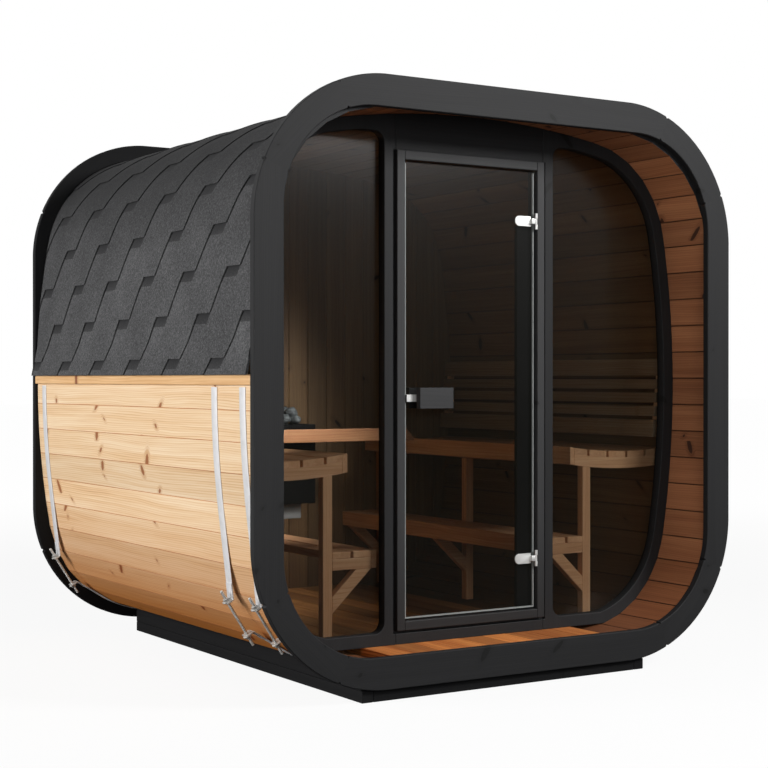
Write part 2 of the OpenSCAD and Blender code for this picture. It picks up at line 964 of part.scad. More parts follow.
base_runners();
base_crossbeams();
cradle_rails();
floor_staves();
left_wall_staves();
right_wall_staves();
roof_staves();
lower_corner_staves();
upper_corner_staves();
front_ring_boards();
front_ring_corners();
back_ring_boards();
back_ring_corners();
roof_shingles();
eave_battens();
hoop_straps();
hoop_brackets();
tension_rods();
floor_joists();
floor_boards();
front_wall_left();
front_wall_right();
front_wall_header();
front_wall_sill();
window_glass();
door_jambs();
door_head();
door_threshold();
hinge_stop();
hinge_knuckles();
door_glass();
door_hinge_plates();
door_handle();
door_latch();
back_wall();
bench_slats();
bench_fronts();
bench_bearers();
bench_legs();
step_slats();
step_fronts();
step_bearers();
step_braces();
backrest_slats();
backrest_wedges();
heater_casing();
heater_terminal_box();
heater_stones();
heater_brackets();
heater_guard();
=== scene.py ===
"""The finished look of a cube sauna: spruce cabin, charcoal trim, shingled roof and glass front."""

import logging
import math
from collections.abc import Sequence
from dataclasses import dataclass, field
from enum import Enum
from typing import NamedTuple

import bmesh
import bpy
import numpy as np
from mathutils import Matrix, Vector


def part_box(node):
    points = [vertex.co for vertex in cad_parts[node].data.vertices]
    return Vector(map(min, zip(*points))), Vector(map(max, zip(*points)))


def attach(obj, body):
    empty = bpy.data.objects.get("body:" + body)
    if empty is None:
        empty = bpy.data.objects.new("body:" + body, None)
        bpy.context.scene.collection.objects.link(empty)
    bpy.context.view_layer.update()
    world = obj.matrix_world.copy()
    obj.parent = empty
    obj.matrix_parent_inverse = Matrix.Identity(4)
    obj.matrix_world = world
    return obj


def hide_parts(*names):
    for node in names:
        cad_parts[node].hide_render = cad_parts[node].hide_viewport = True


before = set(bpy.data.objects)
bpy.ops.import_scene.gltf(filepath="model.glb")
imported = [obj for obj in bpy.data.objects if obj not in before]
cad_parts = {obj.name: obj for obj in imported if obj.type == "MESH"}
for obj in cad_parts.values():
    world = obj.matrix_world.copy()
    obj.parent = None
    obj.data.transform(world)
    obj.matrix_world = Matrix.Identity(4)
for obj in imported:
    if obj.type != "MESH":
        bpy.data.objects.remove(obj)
LOG = logging.getLogger("sauna")
Colour = tuple[float, float, float]
Point = tuple[float, float, float]
Shade = tuple[int, int, int]
Socket = bpy.types.NodeSocket
Value = float | Colour | Socket
Pair = tuple[np.ndarray, np.ndarray]

STAVE_T = 0.038  # thickness of the staves
SHINGLE_REPEAT = 0.338  # width of one strip of shingle
SHINGLE_STEP = 0.098  # how far a strip's edge slants, and steps back, in one course
LOG_SIZE = 30.0  # boards are cut at random places of a block of wood this large
SMALLEST_FACE = 1e-10  # faces with less area are left out
WELD = 1e-5  # points of a node's mesh that lie closer are joined
FLAT = 0.3  # degrees within which a node's triangles are one flat face
SHARP = 35  # degrees from which an edge is eased


class Axis(Enum):
    """The direction in which a board's grain runs."""

    X = 0
    Y = 1
    Z = 2


class Slot(Enum):
    """The record's material slots."""

    BLACK = "black_wood"
    STAVE = "stave_wood"
    ROOM = "room_wood"
    BENCH = "bench_wood"
    SHINGLE = "shingle"
    STEEL = "strap_steel"
    GLASS = "tinted_glass"
    DARK = "dark_metal"
    GREY = "grey_metal"
    STONE = "stone"


def srgb(red: int, green: int, blue: int) -> Colour:
    """Turns a colour in 0 to 255 into the linear one that shaders take, by the sRGB curve."""
    parts = [c / 255 for c in (red, green, blue)]
    return tuple(c / 12.92 if c < 0.04045 else ((c + 0.055) / 1.055) ** 2.4 for c in parts)


# ---------------------------------------------------------------- surfaces


def rounded_rectangle(half_w: float, half_h: float, radius: float, steps: int = 2) -> np.ndarray:
    """A rectangle whose corners are quarter circles, run anticlockwise.

    Each corner's points are its centre plus the radius times the cosine and sine of a quarter turn.

    Args:
        half_w: Half the width.
        half_h: Half the height.
        radius: Radius of the corners.
        steps: Divisions of each corner.
    Returns:
        An array of points, n by 2.
    """
    turn = np.linspace(0, np.pi / 2, steps + 1)
    angle = (turn[None, :] + np.arange(4)[:, None] * np.pi / 2).ravel()
    sign_x = np.repeat([1, -1, -1, 1], steps + 1)
    sign_y = np.repeat([1, 1, -1, -1], steps + 1)
    centre = np.stack([sign_x * (half_w - radius), sign_y * (half_h - radius)], 1)
    return centre + radius * np.stack([np.cos(angle), np.sin(angle)], 1)


def board_grid(axis: Axis, low: np.ndarray, high: np.ndarray, ease: float) -> np.ndarray:
    """A straight board with eased edges and ends.

    A rounded rectangle is carried along the axis; the first and last sections are drawn in by the easing.

    Args:
        axis: Direction of the board's length.
        low: Its lowest corner.
        high: Its highest corner.
        ease: Radius taken off the edges.
    Returns:
        Points in a grid, sections by profile by 3.
    """
    most, end_inset, end_radius = 0.45, 0.8, 0.2
    along = axis.value
    across, deep = [(1, 2), (2, 0), (0, 1)][along]
    middle = (low + high) / 2
    half = (high - low) / 2
    ease = min(ease, half[across] * most, half[deep] * most)
    places = np.array([low[along], low[along] + ease, high[along] - ease, high[along]])
    insets = np.array([ease, 0, 0, ease]) * end_inset
    sections = []
    for spot, inset in zip(places, insets):
        radius = max(ease - inset, ease * end_radius)
        ring = rounded_rectangle(half[across] - inset, half[deep] - inset, radius)
        section = np.empty((len(ring), 3))
        section[:, along] = spot
        section[:, across] = middle[across] + ring[:, 0]
        section[:, deep] = middle[deep] + ring[:, 1]
        sections.append(section)
    return np.stack(sections)


def grain_order(axis: Axis) -> list[int]:
    """The order of coordinates that puts the grain's own direction first."""
    return [axis.value] + [a for a in (0, 1, 2) if a != axis.value]


@dataclass
class Surface:
    """Points, faces and grain gathered for one piece."""

    seed: int = 1
    points: list[np.ndarray] = field(default_factory=list)
    grains: list[np.ndarray] = field(default_factory=list)
    tones: list[np.ndarray] = field(default_factory=list)
    faces: list[list[int]] = field(default_factory=list)
    marks: list[int] = field(default_factory=list)
    count: int = 0

    def __post_init__(self) -> None:
        """Starts the piece's own run of chance."""
        self.chance = np.random.default_rng(self.seed)

    def shell(
        self,
        grid: np.ndarray,
        grain: np.ndarray | None = None,
        marks: np.ndarray | None = None,
        shift: bool = True,
        cap: int = 0,
    ) -> None:
        """Adds a grid as a closed shell: the profile is joined round, and the end sections are filled.

        The volume under the faces, a sum of triple products, tells which way they face, and they are
        turned where it is negative.

        Args:
            grid: Points, sections by profile by 3.
            grain: Where each point lies in its board: along, across and into it.
            marks: A material number for each step of the profile.
            shift: Whether the board is cut from its own place in the wood.
            cap: The material number of the end faces.
        """
        rows, cols = grid.shape[:2]
        i, j = np.meshgrid(np.arange(rows - 1), np.arange(cols), indexing="ij")
        after = (j + 1) % cols
        quads = np.stack([i * cols + j, i * cols + after, (i + 1) * cols + after, (i + 1) * cols + j], -1)
        quads = quads.reshape(-1, 4)
        mark = np.zeros(len(quads), int) if marks is None else marks[j.ravel()]
        flat = grid.reshape(-1, 3)
        corners = flat[quads]
        spread = np.cross(corners[:, 2] - corners[:, 0], corners[:, 3] - corners[:, 1])
        keep = np.linalg.norm(spread, axis=1) > SMALLEST_FACE
        quads, mark, corners = quads[keep], mark[keep], corners[keep] - flat.mean(0)
        volume = np.einsum("ij,ij->", corners[:, 0], np.cross(corners[:, 1], corners[:, 2]))
        volume += np.einsum("ij,ij->", corners[:, 0], np.cross(corners[:, 2], corners[:, 3]))
        faces = quads.tolist()
        faces += [list(range(cols))[::-1], list(range((rows - 1) * cols, rows * cols))]
        if volume < 0:
            faces = [face[::-1] for face in faces]
        self.faces += [[index + self.count for index in face] for face in faces]
        self.marks += mark.tolist() + [cap] * (len(faces) - len(mark))
        self.points.append(flat)
        in_wood = flat if grain is None else grain.reshape(-1, 3)
        self.grains.append(in_wood + (self.chance.uniform(0, LOG_SIZE, 3) if shift else 0))
        self.tones.append(np.full(len(flat), self.chance.uniform(0, 1)))
        self.count += len(flat)

    def board(self, axis: Axis, low: Point, high: Point, ease: float) -> None:
        """Adds a straight board with eased edges, its grain along the axis."""
        grid = board_grid(axis, np.asarray(low, float), np.asarray(high, float), ease)
        self.shell(grid, grid[..., grain_order(axis)])

    def build(
        self, name: str, finishes: list[bpy.types.Material], smooth: float | None = None
    ) -> bpy.types.Object:
        """Makes the mesh and its object.

        Args:
            name: The piece's name.
            finishes: Its materials, in the order of the marks.
            smooth: The angle in degrees under which faces are shaded as one.
        Returns:
            The new object.
        """
        mesh = bpy.data.meshes.new(name)
        points = np.concatenate(self.points)
        mesh.from_pydata(points.tolist(), [], self.faces)
        mesh.polygons.foreach_set("material_index", np.array(self.marks, np.int32))
        write_wood(mesh, np.concatenate(self.grains), np.concatenate(self.tones))
        return finish_object(name, mesh, finishes, smooth)


def write_wood(mesh: bpy.types.Mesh, grain: np.ndarray, tone: np.ndarray) -> None:
    """Stores where each point lies in its board, and how light the board is.

    Args:
        mesh: The mesh that keeps them.
        grain: Along, across and into the board, for each point.
        tone: From 0 to 1, for each point.
    """
    grains = mesh.attributes.new("grain", "FLOAT_VECTOR", "POINT")
    grains.data.foreach_set("vector", grain.astype(np.float32).ravel())
    tones = mesh.attributes.new("tone", "FLOAT", "POINT")
    tones.data.foreach_set("value", tone.astype(np.float32).ravel())


def finish_object(
    name: str, mesh: bpy.types.Mesh, finishes: list[bpy.types.Material], smooth: float | None
) -> bpy.types.Object:
    """Gives a mesh its materials and shading and puts it in the scene.

    Args:
        name: The object's name.
        mesh: Its mesh.
        finishes: Its materials, in order.
        smooth: The angle in degrees under which faces are shaded as one, or none for flat faces.
    Returns:
        The new object.
    """
    for finish in finishes:
        mesh.materials.append(finish)
    mesh.polygons.foreach_set("use_smooth", np.full(len(mesh.polygons), smooth is not None))
    if smooth is not None:
        mesh.set_sharp_from_angle(angle=math.radians(smooth))
    mesh.update()
    piece = bpy.data.objects.new(name, mesh)
    bpy.context.scene.collection.objects.link(piece)
    return piece


def place(piece: bpy.types.Object, node: str, body: str = "cabin") -> None:
    """Lets a piece ride on its body and stand for its node, and reports it.

    Args:
        piece: The finished piece.
        node: The CAD node that it stands for.
        body: The body that it rides on.
    """
    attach(piece, body)
    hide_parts(node)
    LOG.info("%s: %d faces on %s", piece.name, len(piece.data.polygons), body)


def islands(count: int, edges: np.ndarray) -> np.ndarray:
    """Numbers the joined groups of points, by passing the lowest number over the edges until it rests.

    Args:
        count: How many points there are.
        edges: The two points of each edge.
    Returns:
        A group's number for each point.
    """
    label = np.arange(count)
    while True:
        lowest = np.minimum(label[edges[:, 0]], label[edges[:, 1]])
        fresh = label.copy()
        np.minimum.at(fresh, edges[:, 0], lowest)
        np.minimum.at(fresh, edges[:, 1], lowest)
        if (fresh == label).all():
            return np.unique(label, return_inverse=True)[1]
        label = fresh


def merged_mesh(node: str) -> bpy.types.Mesh:
    """A copy of a node's mesh with its loose triangles joined and its flat faces made whole.

    Args:
        node: The CAD node.
    Returns:
        The copy.
    """
    shape = bmesh.new()
    shape.from_mesh(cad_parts[node].data)
    bmesh.ops.remove_doubles(shape, verts=shape.verts, dist=WELD)
    flat = math.radians(FLAT)
    bmesh.ops.dissolve_limit(shape, angle_limit=flat, verts=shape.verts, edges=shape.edges)
    mesh = bpy.data.meshes.new(node + "_copy")
    shape.to_mesh(mesh)
    shape.free()
    mesh.materials.clear()
    mesh.polygons.foreach_set("material_index", np.zeros(len(mesh.polygons), np.int32))
    return mesh


def mesh_arrays(mesh: bpy.types.Mesh) -> Pair:
    """A mesh's points and the number of the solid that each belongs to.

    Args:
        mesh: A mesh of one or more solids.
    Returns:
        The points, n by 3, and their solids' numbers.
    """
    points = np.empty(len(mesh.vertices) * 3, np.float32)
    mesh.vertices.foreach_get("co", points)
    edges = np.empty(len(mesh.edges) * 2, np.int32)
    mesh.edges.foreach_get("vertices", edges)
    points = points.reshape(-1, 3).astype(float)
    return points, islands(len(points), edges.reshape(-1, 2))


@dataclass(frozen=True)
class Dress:
    """How a node of the right shape is dressed: its edges are eased and its grain laid along an axis."""

    node: str
    axis: Axis
    finish: str
    slot: Slot
    seed: int
    ease: float = 0.002
    smooth: float | None = None
    body: str = "cabin"

    def build(self, finishes: "Finishes") -> None:
        """Copies the node's form, gives each of its solids its own cut of wood, and eases its edges.

        Args:
            finishes: Where the material is found.
        """
        mesh = merged_mesh(self.node)
        points, label = mesh_arrays(mesh)
        chance = np.random.default_rng(self.seed)
        shifts = chance.uniform(0, LOG_SIZE, (label.max() + 1, 3))
        tones = chance.uniform(0, 1, label.max() + 1)
        write_wood(mesh, points[:, grain_order(self.axis)] + shifts[label], tones[label])
        piece = finish_object(self.node + "_eased", mesh, [finishes[self.finish]], self.smooth)
        bevel = piece.modifiers.new("ease", "BEVEL")
        bevel.width = self.ease
        bevel.segments = 2
        bevel.limit_method = "ANGLE"
        bevel.angle_limit = math.radians(SHARP)
        place(piece, self.node, self.body)


# ---------------------------------------------------------------- materials


class Stretch(NamedTuple):
    """Noise drawn out along the grain: how fine it is along and across, its detail and its roughness."""

    along: float
    across: float
    detail: float
    rough: float = 0.5


class Noise(NamedTuple):
    """Even noise: how fine it is, its detail and its roughness."""

    scale: float
    detail: float
    rough: float


class Nodes:
    """Adds nodes to a tree in plain steps."""

    def __init__(self, tree: bpy.types.NodeTree) -> None:
        """Works on one tree."""
        self.tree = tree

    def fill(self, socket: Socket, value: Value) -> None:
        """Links a socket to another, or sets its own value.

        Args:
            socket: The input to fill.
            value: A number, a colour, a vector or another node's output.
        """
        if isinstance(value, bpy.types.NodeSocket):
            self.tree.links.new(value, socket)
        else:
            socket.default_value = (*value, 1) if socket.type == "RGBA" else value

    def add(
        self, kind: str, inputs: dict[str | int, Value] | None = None, **options: str
    ) -> bpy.types.Node:
        """Adds a node, sets its options, and fills or links its inputs.

        Args:
            kind: The node's type.
            inputs: What goes into each input.
            **options: The node's own settings.
        Returns:
            The new node.
        """
        node = self.tree.nodes.new(kind)
        for key, value in options.items():
            setattr(node, key, value)
        for key, value in (inputs or {}).items():
            self.fill(node.inputs[key], value)
        return node

    def calc(self, kind: str, first: Value, second: Value = 0.0, third: Value = 0.0) -> Socket:
        """One step of arithmetic, such as SINE or MAXIMUM."""
        return self.add("ShaderNodeMath", {0: first, 1: second, 2: third}, operation=kind).outputs[0]

    def plus(self, first: Value, second: Value) -> Socket:
        """The sum of two values."""
        return self.calc("ADD", first, second)

    def minus(self, first: Value, second: Value) -> Socket:
        """The first value less the second."""
        return self.calc("SUBTRACT", first, second)

    def times(self, first: Value, second: Value) -> Socket:
        """The product of two values."""
        return self.calc("MULTIPLY", first, second)

    def shares(self, first: Socket, share: float, second: Socket) -> Socket:
        """Two values added in shares that make one."""
        return self.plus(self.times(first, share), self.times(second, 1 - share))

    def vector(self, kind: str, first: Value, second: Value = (0, 0, 0)) -> Socket:
        """One step of arithmetic on vectors."""
        node = self.add("ShaderNodeVectorMath", {0: first, 1: second}, operation=kind)
        return node.outputs["Value" if kind == "LENGTH" else "Vector"]

    def join(self, x: Value, y: Value, z: Value) -> Socket:
        """A vector of three parts."""
        return self.add("ShaderNodeCombineXYZ", {0: x, 1: y, 2: z}).outputs[0]

    def split(self, vector: Socket) -> tuple[Socket, Socket, Socket]:
        """The three parts of a vector."""
        return tuple(self.add("ShaderNodeSeparateXYZ", {0: vector}).outputs)

    def attribute(self, name: str, output: str) -> Socket:
        """Reads a stored attribute."""
        return self.add("ShaderNodeAttribute", attribute_name=name).outputs[output]

    def coordinates(self, output: str = "Object") -> Socket:
        """Where a point lies."""
        return self.add("ShaderNodeTexCoord").outputs[output]

    def noise(self, vector: Socket, scale: float, detail: float = 3, rough: float = 0.5) -> Socket:
        """Soft noise, about 0.5."""
        inputs = {"Vector": vector, "Scale": scale, "Detail": detail, "Roughness": rough}
        return self.add("ShaderNodeTexNoise", inputs).outputs["Fac"]

    def drawn(self, grain: Socket, by: Stretch) -> Socket:
        """Noise drawn out along the grain."""
        scaled = self.vector("MULTIPLY", grain, (by.along, by.across, by.across))
        return self.noise(scaled, 1.0, by.detail, by.rough)

    def span(
        self,
        value: Socket,
        low: float,
        high: float,
        to_low: float = 0.0,
        to_high: float = 1.0,
        kind: str = "SMOOTHSTEP",
    ) -> Socket:
        """Maps a span of values to another.

        Args:
            value: The value to map.
            low: Where its span begins.
            high: Where its span ends.
            to_low: What the beginning becomes.
            to_high: What the end becomes.
            kind: How the values between run.
        Returns:
            The mapped value.
        """
        ends = {"From Min": low, "From Max": high, "To Min": to_low, "To Max": to_high}
        node = self.add("ShaderNodeMapRange", {"Value": value, **ends}, interpolation_type=kind)
        return node.outputs["Result"]

    def ramp(self, value: Socket, stops: Sequence[tuple[float, Colour]]) -> Socket:
        """A run of colours.

        Args:
            value: The value that picks the colour.
            stops: Where each colour stands, from 0 to 1, and the colour.
        Returns:
            The colour.
        """
        node = self.add("ShaderNodeValToRGB", {0: value})
        points = node.color_ramp.elements
        while len(points) < len(stops):
            points.new(0.5)
        for point, (at, colour) in zip(points, stops):
            point.position = at
            point.color = (*colour, 1)
        return node.outputs["Color"]

    def mix(self, amount: Value, first: Value, second: Value, blend: str = "MIX") -> Socket:
        """Mixes two colours; the node's inputs 6 and 7 are the ones for colours."""
        inputs = {0: amount, 6: first, 7: second}
        return self.add("ShaderNodeMix", inputs, data_type="RGBA", blend_type=blend).outputs[2]

    def shade(self, colour: Socket, tone: Socket) -> Socket:
        """A colour made lighter or darker by a tone."""
        grey = self.add("ShaderNodeCombineColor", {0: tone, 1: tone, 2: tone}).outputs[0]
        return self.mix(1.0, colour, grey, "MULTIPLY")

    def tint(self, amount: Socket, colour: Socket, tint: Colour) -> Socket:
        """A colour multiplied by a tint, as far as the amount says."""
        return self.mix(amount, colour, self.mix(1.0, colour, tint, "MULTIPLY"))

    def rays(self) -> tuple[Socket, Socket]:
        """What kind of ray looks.

        Returns:
            1 for rays from the camera and through glass, and 1 for reflected ones; 0 for the others.
        """
        path = self.add("ShaderNodeLightPath").outputs
        seen = self.calc("MAXIMUM", path["Is Camera Ray"], path["Is Transmission Ray"])
        return seen, path["Is Glossy Ray"]


class Recipe(Nodes):
    """Builds one material's nodes."""

    def __init__(self, name: str) -> None:
        """Starts a material with an empty surface shader.

        Args:
            name: The material's name.
        """
        self.material = bpy.data.materials.new(name)
        self.material.use_nodes = True
        super().__init__(self.material.node_tree)
        self.shader = self.tree.nodes["Principled BSDF"]

    def bump(self, height: Socket, strength: float, distance: float) -> None:
        """Raises the surface by a height."""
        inputs = {"Height": height, "Strength": strength, "Distance": distance}
        self.set(Normal=self.add("ShaderNodeBump", inputs).outputs["Normal"])

    def set(self, **values: Value) -> None:
        """Sets or links the shader's own sockets; an underscore stands for a space."""
        for name, value in values.items():
            self.fill(self.shader.inputs[name.replace("_", " ")], value)


@dataclass(frozen=True)
class KnotForm:
    """How spike knots lie in the wood, in metres; each cell holds one knot at most."""

    cell_long: float = 0.46
    cell_wide: float = 0.085
    slant: float = 2.4
    squeeze: float = 0.42
    squeezed_sizes: tuple[float, float] = (0.5, 0.9)
    least_size: float = 0.2
    least: float = 0.0025
    most: float = 0.0085
    wobble: float = 0.004
    wobble_scale: float = 260
    wobble_detail: float = 2
    rim_out: float = 0.0012
    rim_in: float = -0.0008
    halo: float = 0.022
    halo_cover: float = 0.45
    core_cover: float = 0.92
    push: float = -0.55


@dataclass(frozen=True)
class GrainForm:
    """How streaks, growth lines and broad patches run along the grain, and how much each counts."""

    sway: Stretch = Stretch(1.1, 7, 2)
    streak: Stretch = Stretch(1.6, 95, 4, 0.6)
    fine: Stretch = Stretch(6, 420, 2, 0.6)
    patch: Stretch = Stretch(0.7, 14, 2)
    sway_reach: float = 0.05
    line_waves: float = 780.0
    line_lean: float = 0.6
    line_from: float = 0.2
    streak_share: float = 0.62
    fine_share: float = 0.2
    line_share: float = 0.22
    patch_share: float = 0.5
    stops: tuple[float, float, float] = (0.24, 0.52, 0.86)
    fine_rise: float = 0.5
    line_fall: float = 0.35
    bump: float = 0.0008


KNOT = KnotForm()
GRAIN = GrainForm()
LOW_SHADE = (0.78, 0.06)  # heights between which a finish takes its painted shade for low places
LOW_SHADE_POWER = 1.5  # above 1, the painted shade comes in late
ROOM_FRONT = (-0.735, -0.715)  # where the room's painted shade begins behind the front wall
ROOM_BACK = (0.835, 0.825)  # and where it ends


@dataclass(frozen=True)
class WoodFinish:
    """Planed softwood: streaks along the grain, growth lines, spike knots and a tone for each board."""

    name: str
    light: Colour
    middle: Colour
    dark: Colour
    knot: Colour
    knots: float = 0.55
    knot_size: float = 1.0
    lines: float = 0.5
    tone_low: float = 0.86
    tone_high: float = 1.08
    roughness: float = 0.55
    relief: float = 0.25
    specular: float = 0.4
    # painted shade: a darker, redder tint low on the cabin
    low_tint: Colour = (1.0, 1.0, 1.0)
    # painted shade: a darker tint for everything inside the room
    room_tint: Colour = (1.0, 1.0, 1.0)

    def knot_marks(self, r: Recipe, grain: Socket) -> tuple[Socket, Socket, Socket]:
        """Spike knots, each in a cell of its own.

        The distance from a knot is the length of (along - slant * across, squeeze * across), and its
        rim lies where that distance, plus a little noise, is the knot's radius.

        Args:
            r: The material's recipe.
            grain: Where each point lies in its board.
        Returns:
            The knot's core and the halo round it, from 0 to 1, and the way across from its middle.
        """
        cell = r.vector("MULTIPLY", grain, (1 / KNOT.cell_long, 1 / KNOT.cell_wide, 0))
        voronoi = r.add("ShaderNodeTexVoronoi", {"Vector": cell, "Scale": 1.0}, voronoi_dimensions="2D")
        away = r.vector("SUBTRACT", cell, voronoi.outputs["Position"])
        along, across, _ = r.split(r.vector("MULTIPLY", away, (KNOT.cell_long, KNOT.cell_wide, 0)))
        pick, size, lean = r.split(voronoi.outputs["Color"])
        slant = r.times(r.minus(lean, 0.5), KNOT.slant)
        tilted = r.minus(along, r.times(across, slant))
        squeezed = r.times(across, r.span(size, *KNOT.squeezed_sizes, 1.0, KNOT.squeeze))
        distance = r.vector("LENGTH", r.join(tilted, squeezed, 0.0))
        least, most = KNOT.least * self.knot_size, KNOT.most * self.knot_size
        radius = r.span(size, KNOT.least_size, 1.0, least, most)
        wobble = r.noise(grain, KNOT.wobble_scale, KNOT.wobble_detail)
        wobble = r.times(r.minus(wobble, 0.5), KNOT.wobble)
        rim = r.minus(r.plus(distance, wobble), radius)
        there = r.calc("GREATER_THAN", pick, 1 - self.knots)
        core = r.times(r.span(rim, KNOT.rim_out, KNOT.rim_in), there)
        halo = r.times(r.span(rim, KNOT.halo, 0.0), there)
        return core, halo, across

    def figure(self, r: Recipe, grain: Socket) -> tuple[Socket, Socket]:
        """The wood's own drawing.

        The grain sways and bends round the knots; streaks, fine streaks, growth lines (the sine of the
        way across) and broad patches are added, and their sum picks the colour.

        Args:
            r: The material's recipe.
            grain: Where each point lies in its board.
        Returns:
            The colour, and the height for the relief.
        """
        core, halo, off_knot = self.knot_marks(r, grain)
        along, across, into = r.split(grain)
        push = r.times(r.times(halo, off_knot), KNOT.push)
        swayed = r.plus(across, r.times(r.drawn(grain, GRAIN.sway), GRAIN.sway_reach))
        bent = r.plus(swayed, push)
        flow = r.join(along, bent, into)
        fine = r.drawn(flow, GRAIN.fine)
        wave = r.times(r.plus(bent, r.times(into, GRAIN.line_lean)), GRAIN.line_waves)
        ring = r.span(r.calc("SINE", wave), GRAIN.line_from, 1.0)
        value = r.times(r.drawn(flow, GRAIN.streak), GRAIN.streak_share)
        value = r.plus(value, r.times(fine, GRAIN.fine_share))
        value = r.plus(value, r.times(ring, GRAIN.line_share * self.lines))
        patch = r.minus(r.drawn(flow, GRAIN.patch), 0.5)
        value = r.plus(value, r.times(patch, GRAIN.patch_share))
        base = r.ramp(value, tuple(zip(GRAIN.stops, (self.light, self.middle, self.dark))))
        base = r.mix(r.times(halo, KNOT.halo_cover), base, self.dark)
        base = r.mix(r.times(core, KNOT.core_cover), base, self.knot)
        height = r.minus(r.times(fine, GRAIN.fine_rise), r.times(ring, GRAIN.line_fall))
        return base, r.minus(height, core)

    def make(self) -> bpy.types.Material:
        """Builds the material; painted shade darkens and tints it low on the cabin and behind the front
        wall.

        Returns:
            The material.
        """
        r = Recipe(self.name)
        base, relief = self.figure(r, r.attribute("grain", "Vector"))
        base = r.shade(base, r.span(r.attribute("tone", "Fac"), 0, 1, self.tone_low, self.tone_high))
        _, back, rise = r.split(r.coordinates())
        # Painted shade: darker and redder towards the bottom of the cabin.
        base = r.tint(r.calc("POWER", r.span(rise, *LOW_SHADE), LOW_SHADE_POWER), base, self.low_tint)
        # Painted shade: the room behind the front wall is darkened.
        room_shade = r.times(r.span(back, *ROOM_FRONT), r.span(back, *ROOM_BACK))
        r.set(Base_Color=r.tint(room_shade, base, self.room_tint))
        r.bump(relief, self.relief, GRAIN.bump)
        r.set(Roughness=self.roughness, Specular_IOR_Level=self.specular)
        return r.material


def wood(
    name: str, light: Shade, middle: Shade, dark: Shade, knot: Shade, **options: float | Colour
) -> WoodFinish:
    """A wood finish whose colours are given in 0 to 255."""
    return WoodFinish(name, srgb(*light), srgb(*middle), srgb(*dark), srgb(*knot), **options)


@dataclass(frozen=True)
class ShingleFinish:
    """Mineral granules on bitumen, with a dark band under each step: print and painted shadow."""

    name: str = "shingle_granules"
    stops: tuple[tuple[float, Colour], ...] = (
        (0.33, srgb(42, 42, 43)), (0.5, srgb(71, 71, 72)), (0.68, srgb(112, 112, 113)),
    )
    coarse: Noise = Noise(130, 3, 0.7)
    coarse_share: float = 0.55
    fine: Noise = Noise(520, 2, 0.7)
    cloud: Noise = Noise(5.0, 3, 0.6)
    cloud_share: float = 0.14
    # painted shade: the colours that darken the roof towards its top, and more at the back
    top: Colour = srgb(28, 28, 29)
    top_shade_from: float = 1.4
    top_shade_to: float = 2.1
    top_shade_cover: float = 0.9
    rear_shade: Colour = srgb(20, 20, 21)
    rear_shade_from: float = -0.5
    rear_shade_to: float = 0.8
    rear_shade_rise: tuple[float, float] = (1.6, 2.0)
    rear_shade_cover: float = 0.6
    band_and_shadow: Colour = srgb(34, 34, 35)
    band_height: float = 0.036
    band_shadow_cover: tuple[float, float] = (0.98, 0.72)
    tones: tuple[float, float] = (0.88, 1.02)
    step_tone: float = 0.07
    relief: float = 0.55
    relief_depth: float = 0.0016
    roughness: float = 0.92
    specular: float = 0.25

    def granules(self, r: Recipe, where: Socket) -> Socket:
        """Coarse and fine noise in shares, with a faint cloud."""
        mixed = r.shares(r.noise(where, *self.coarse), self.coarse_share, r.noise(where, *self.fine))
        return r.plus(mixed, r.times(r.minus(r.noise(where, *self.cloud), 0.5), self.cloud_share))

    def make(self) -> bpy.types.Material:
        """Builds the material on the strip's own coordinates.

        These are the distance from its front edge and the distance below its course's top. Painted shade
        darkens it towards the top of the roof, and there most of all at the back.

        Returns:
            The material.
        """
        r = Recipe(self.name)
        where = r.coordinates()
        from_edge, below, _ = r.split(r.attribute("grain", "Vector"))
        mixed = self.granules(r, where)
        base = r.ramp(mixed, self.stops)
        _, back, rise = r.split(where)
        # Painted shade towards the top of the roof and at its back.
        base = r.mix(r.span(rise, self.top_shade_from, self.top_shade_to, 0.0, self.top_shade_cover), base, self.top)
        rear_shade = r.span(rise, *self.rear_shade_rise, 0.0, self.rear_shade_cover)
        base = r.mix(r.times(r.span(back, self.rear_shade_from, self.rear_shade_to), rear_shade), base, self.rear_shade)
        # The band under each step is partly printed and partly painted shadow, darkest at the step.
        under = r.calc("LESS_THAN", below, self.band_height)
        beside = r.calc("GREATER_THAN", from_edge, SHINGLE_REPEAT - SHINGLE_STEP)
        cover = r.span(below, 0.0, self.band_height, *self.band_shadow_cover)
        base = r.mix(r.times(r.times(under, beside), cover), base, self.band_and_shadow)
        tone = r.span(r.attribute("tone", "Fac"), 0, 1, *self.tones)
        r.set(Base_Color=r.shade(base, r.plus(tone, r.times(beside, self.step_tone))))
        r.bump(mixed, self.relief, self.relief_depth)
        r.set(Roughness=self.roughness, Specular_IOR_Level=self.specular)
        return r.material


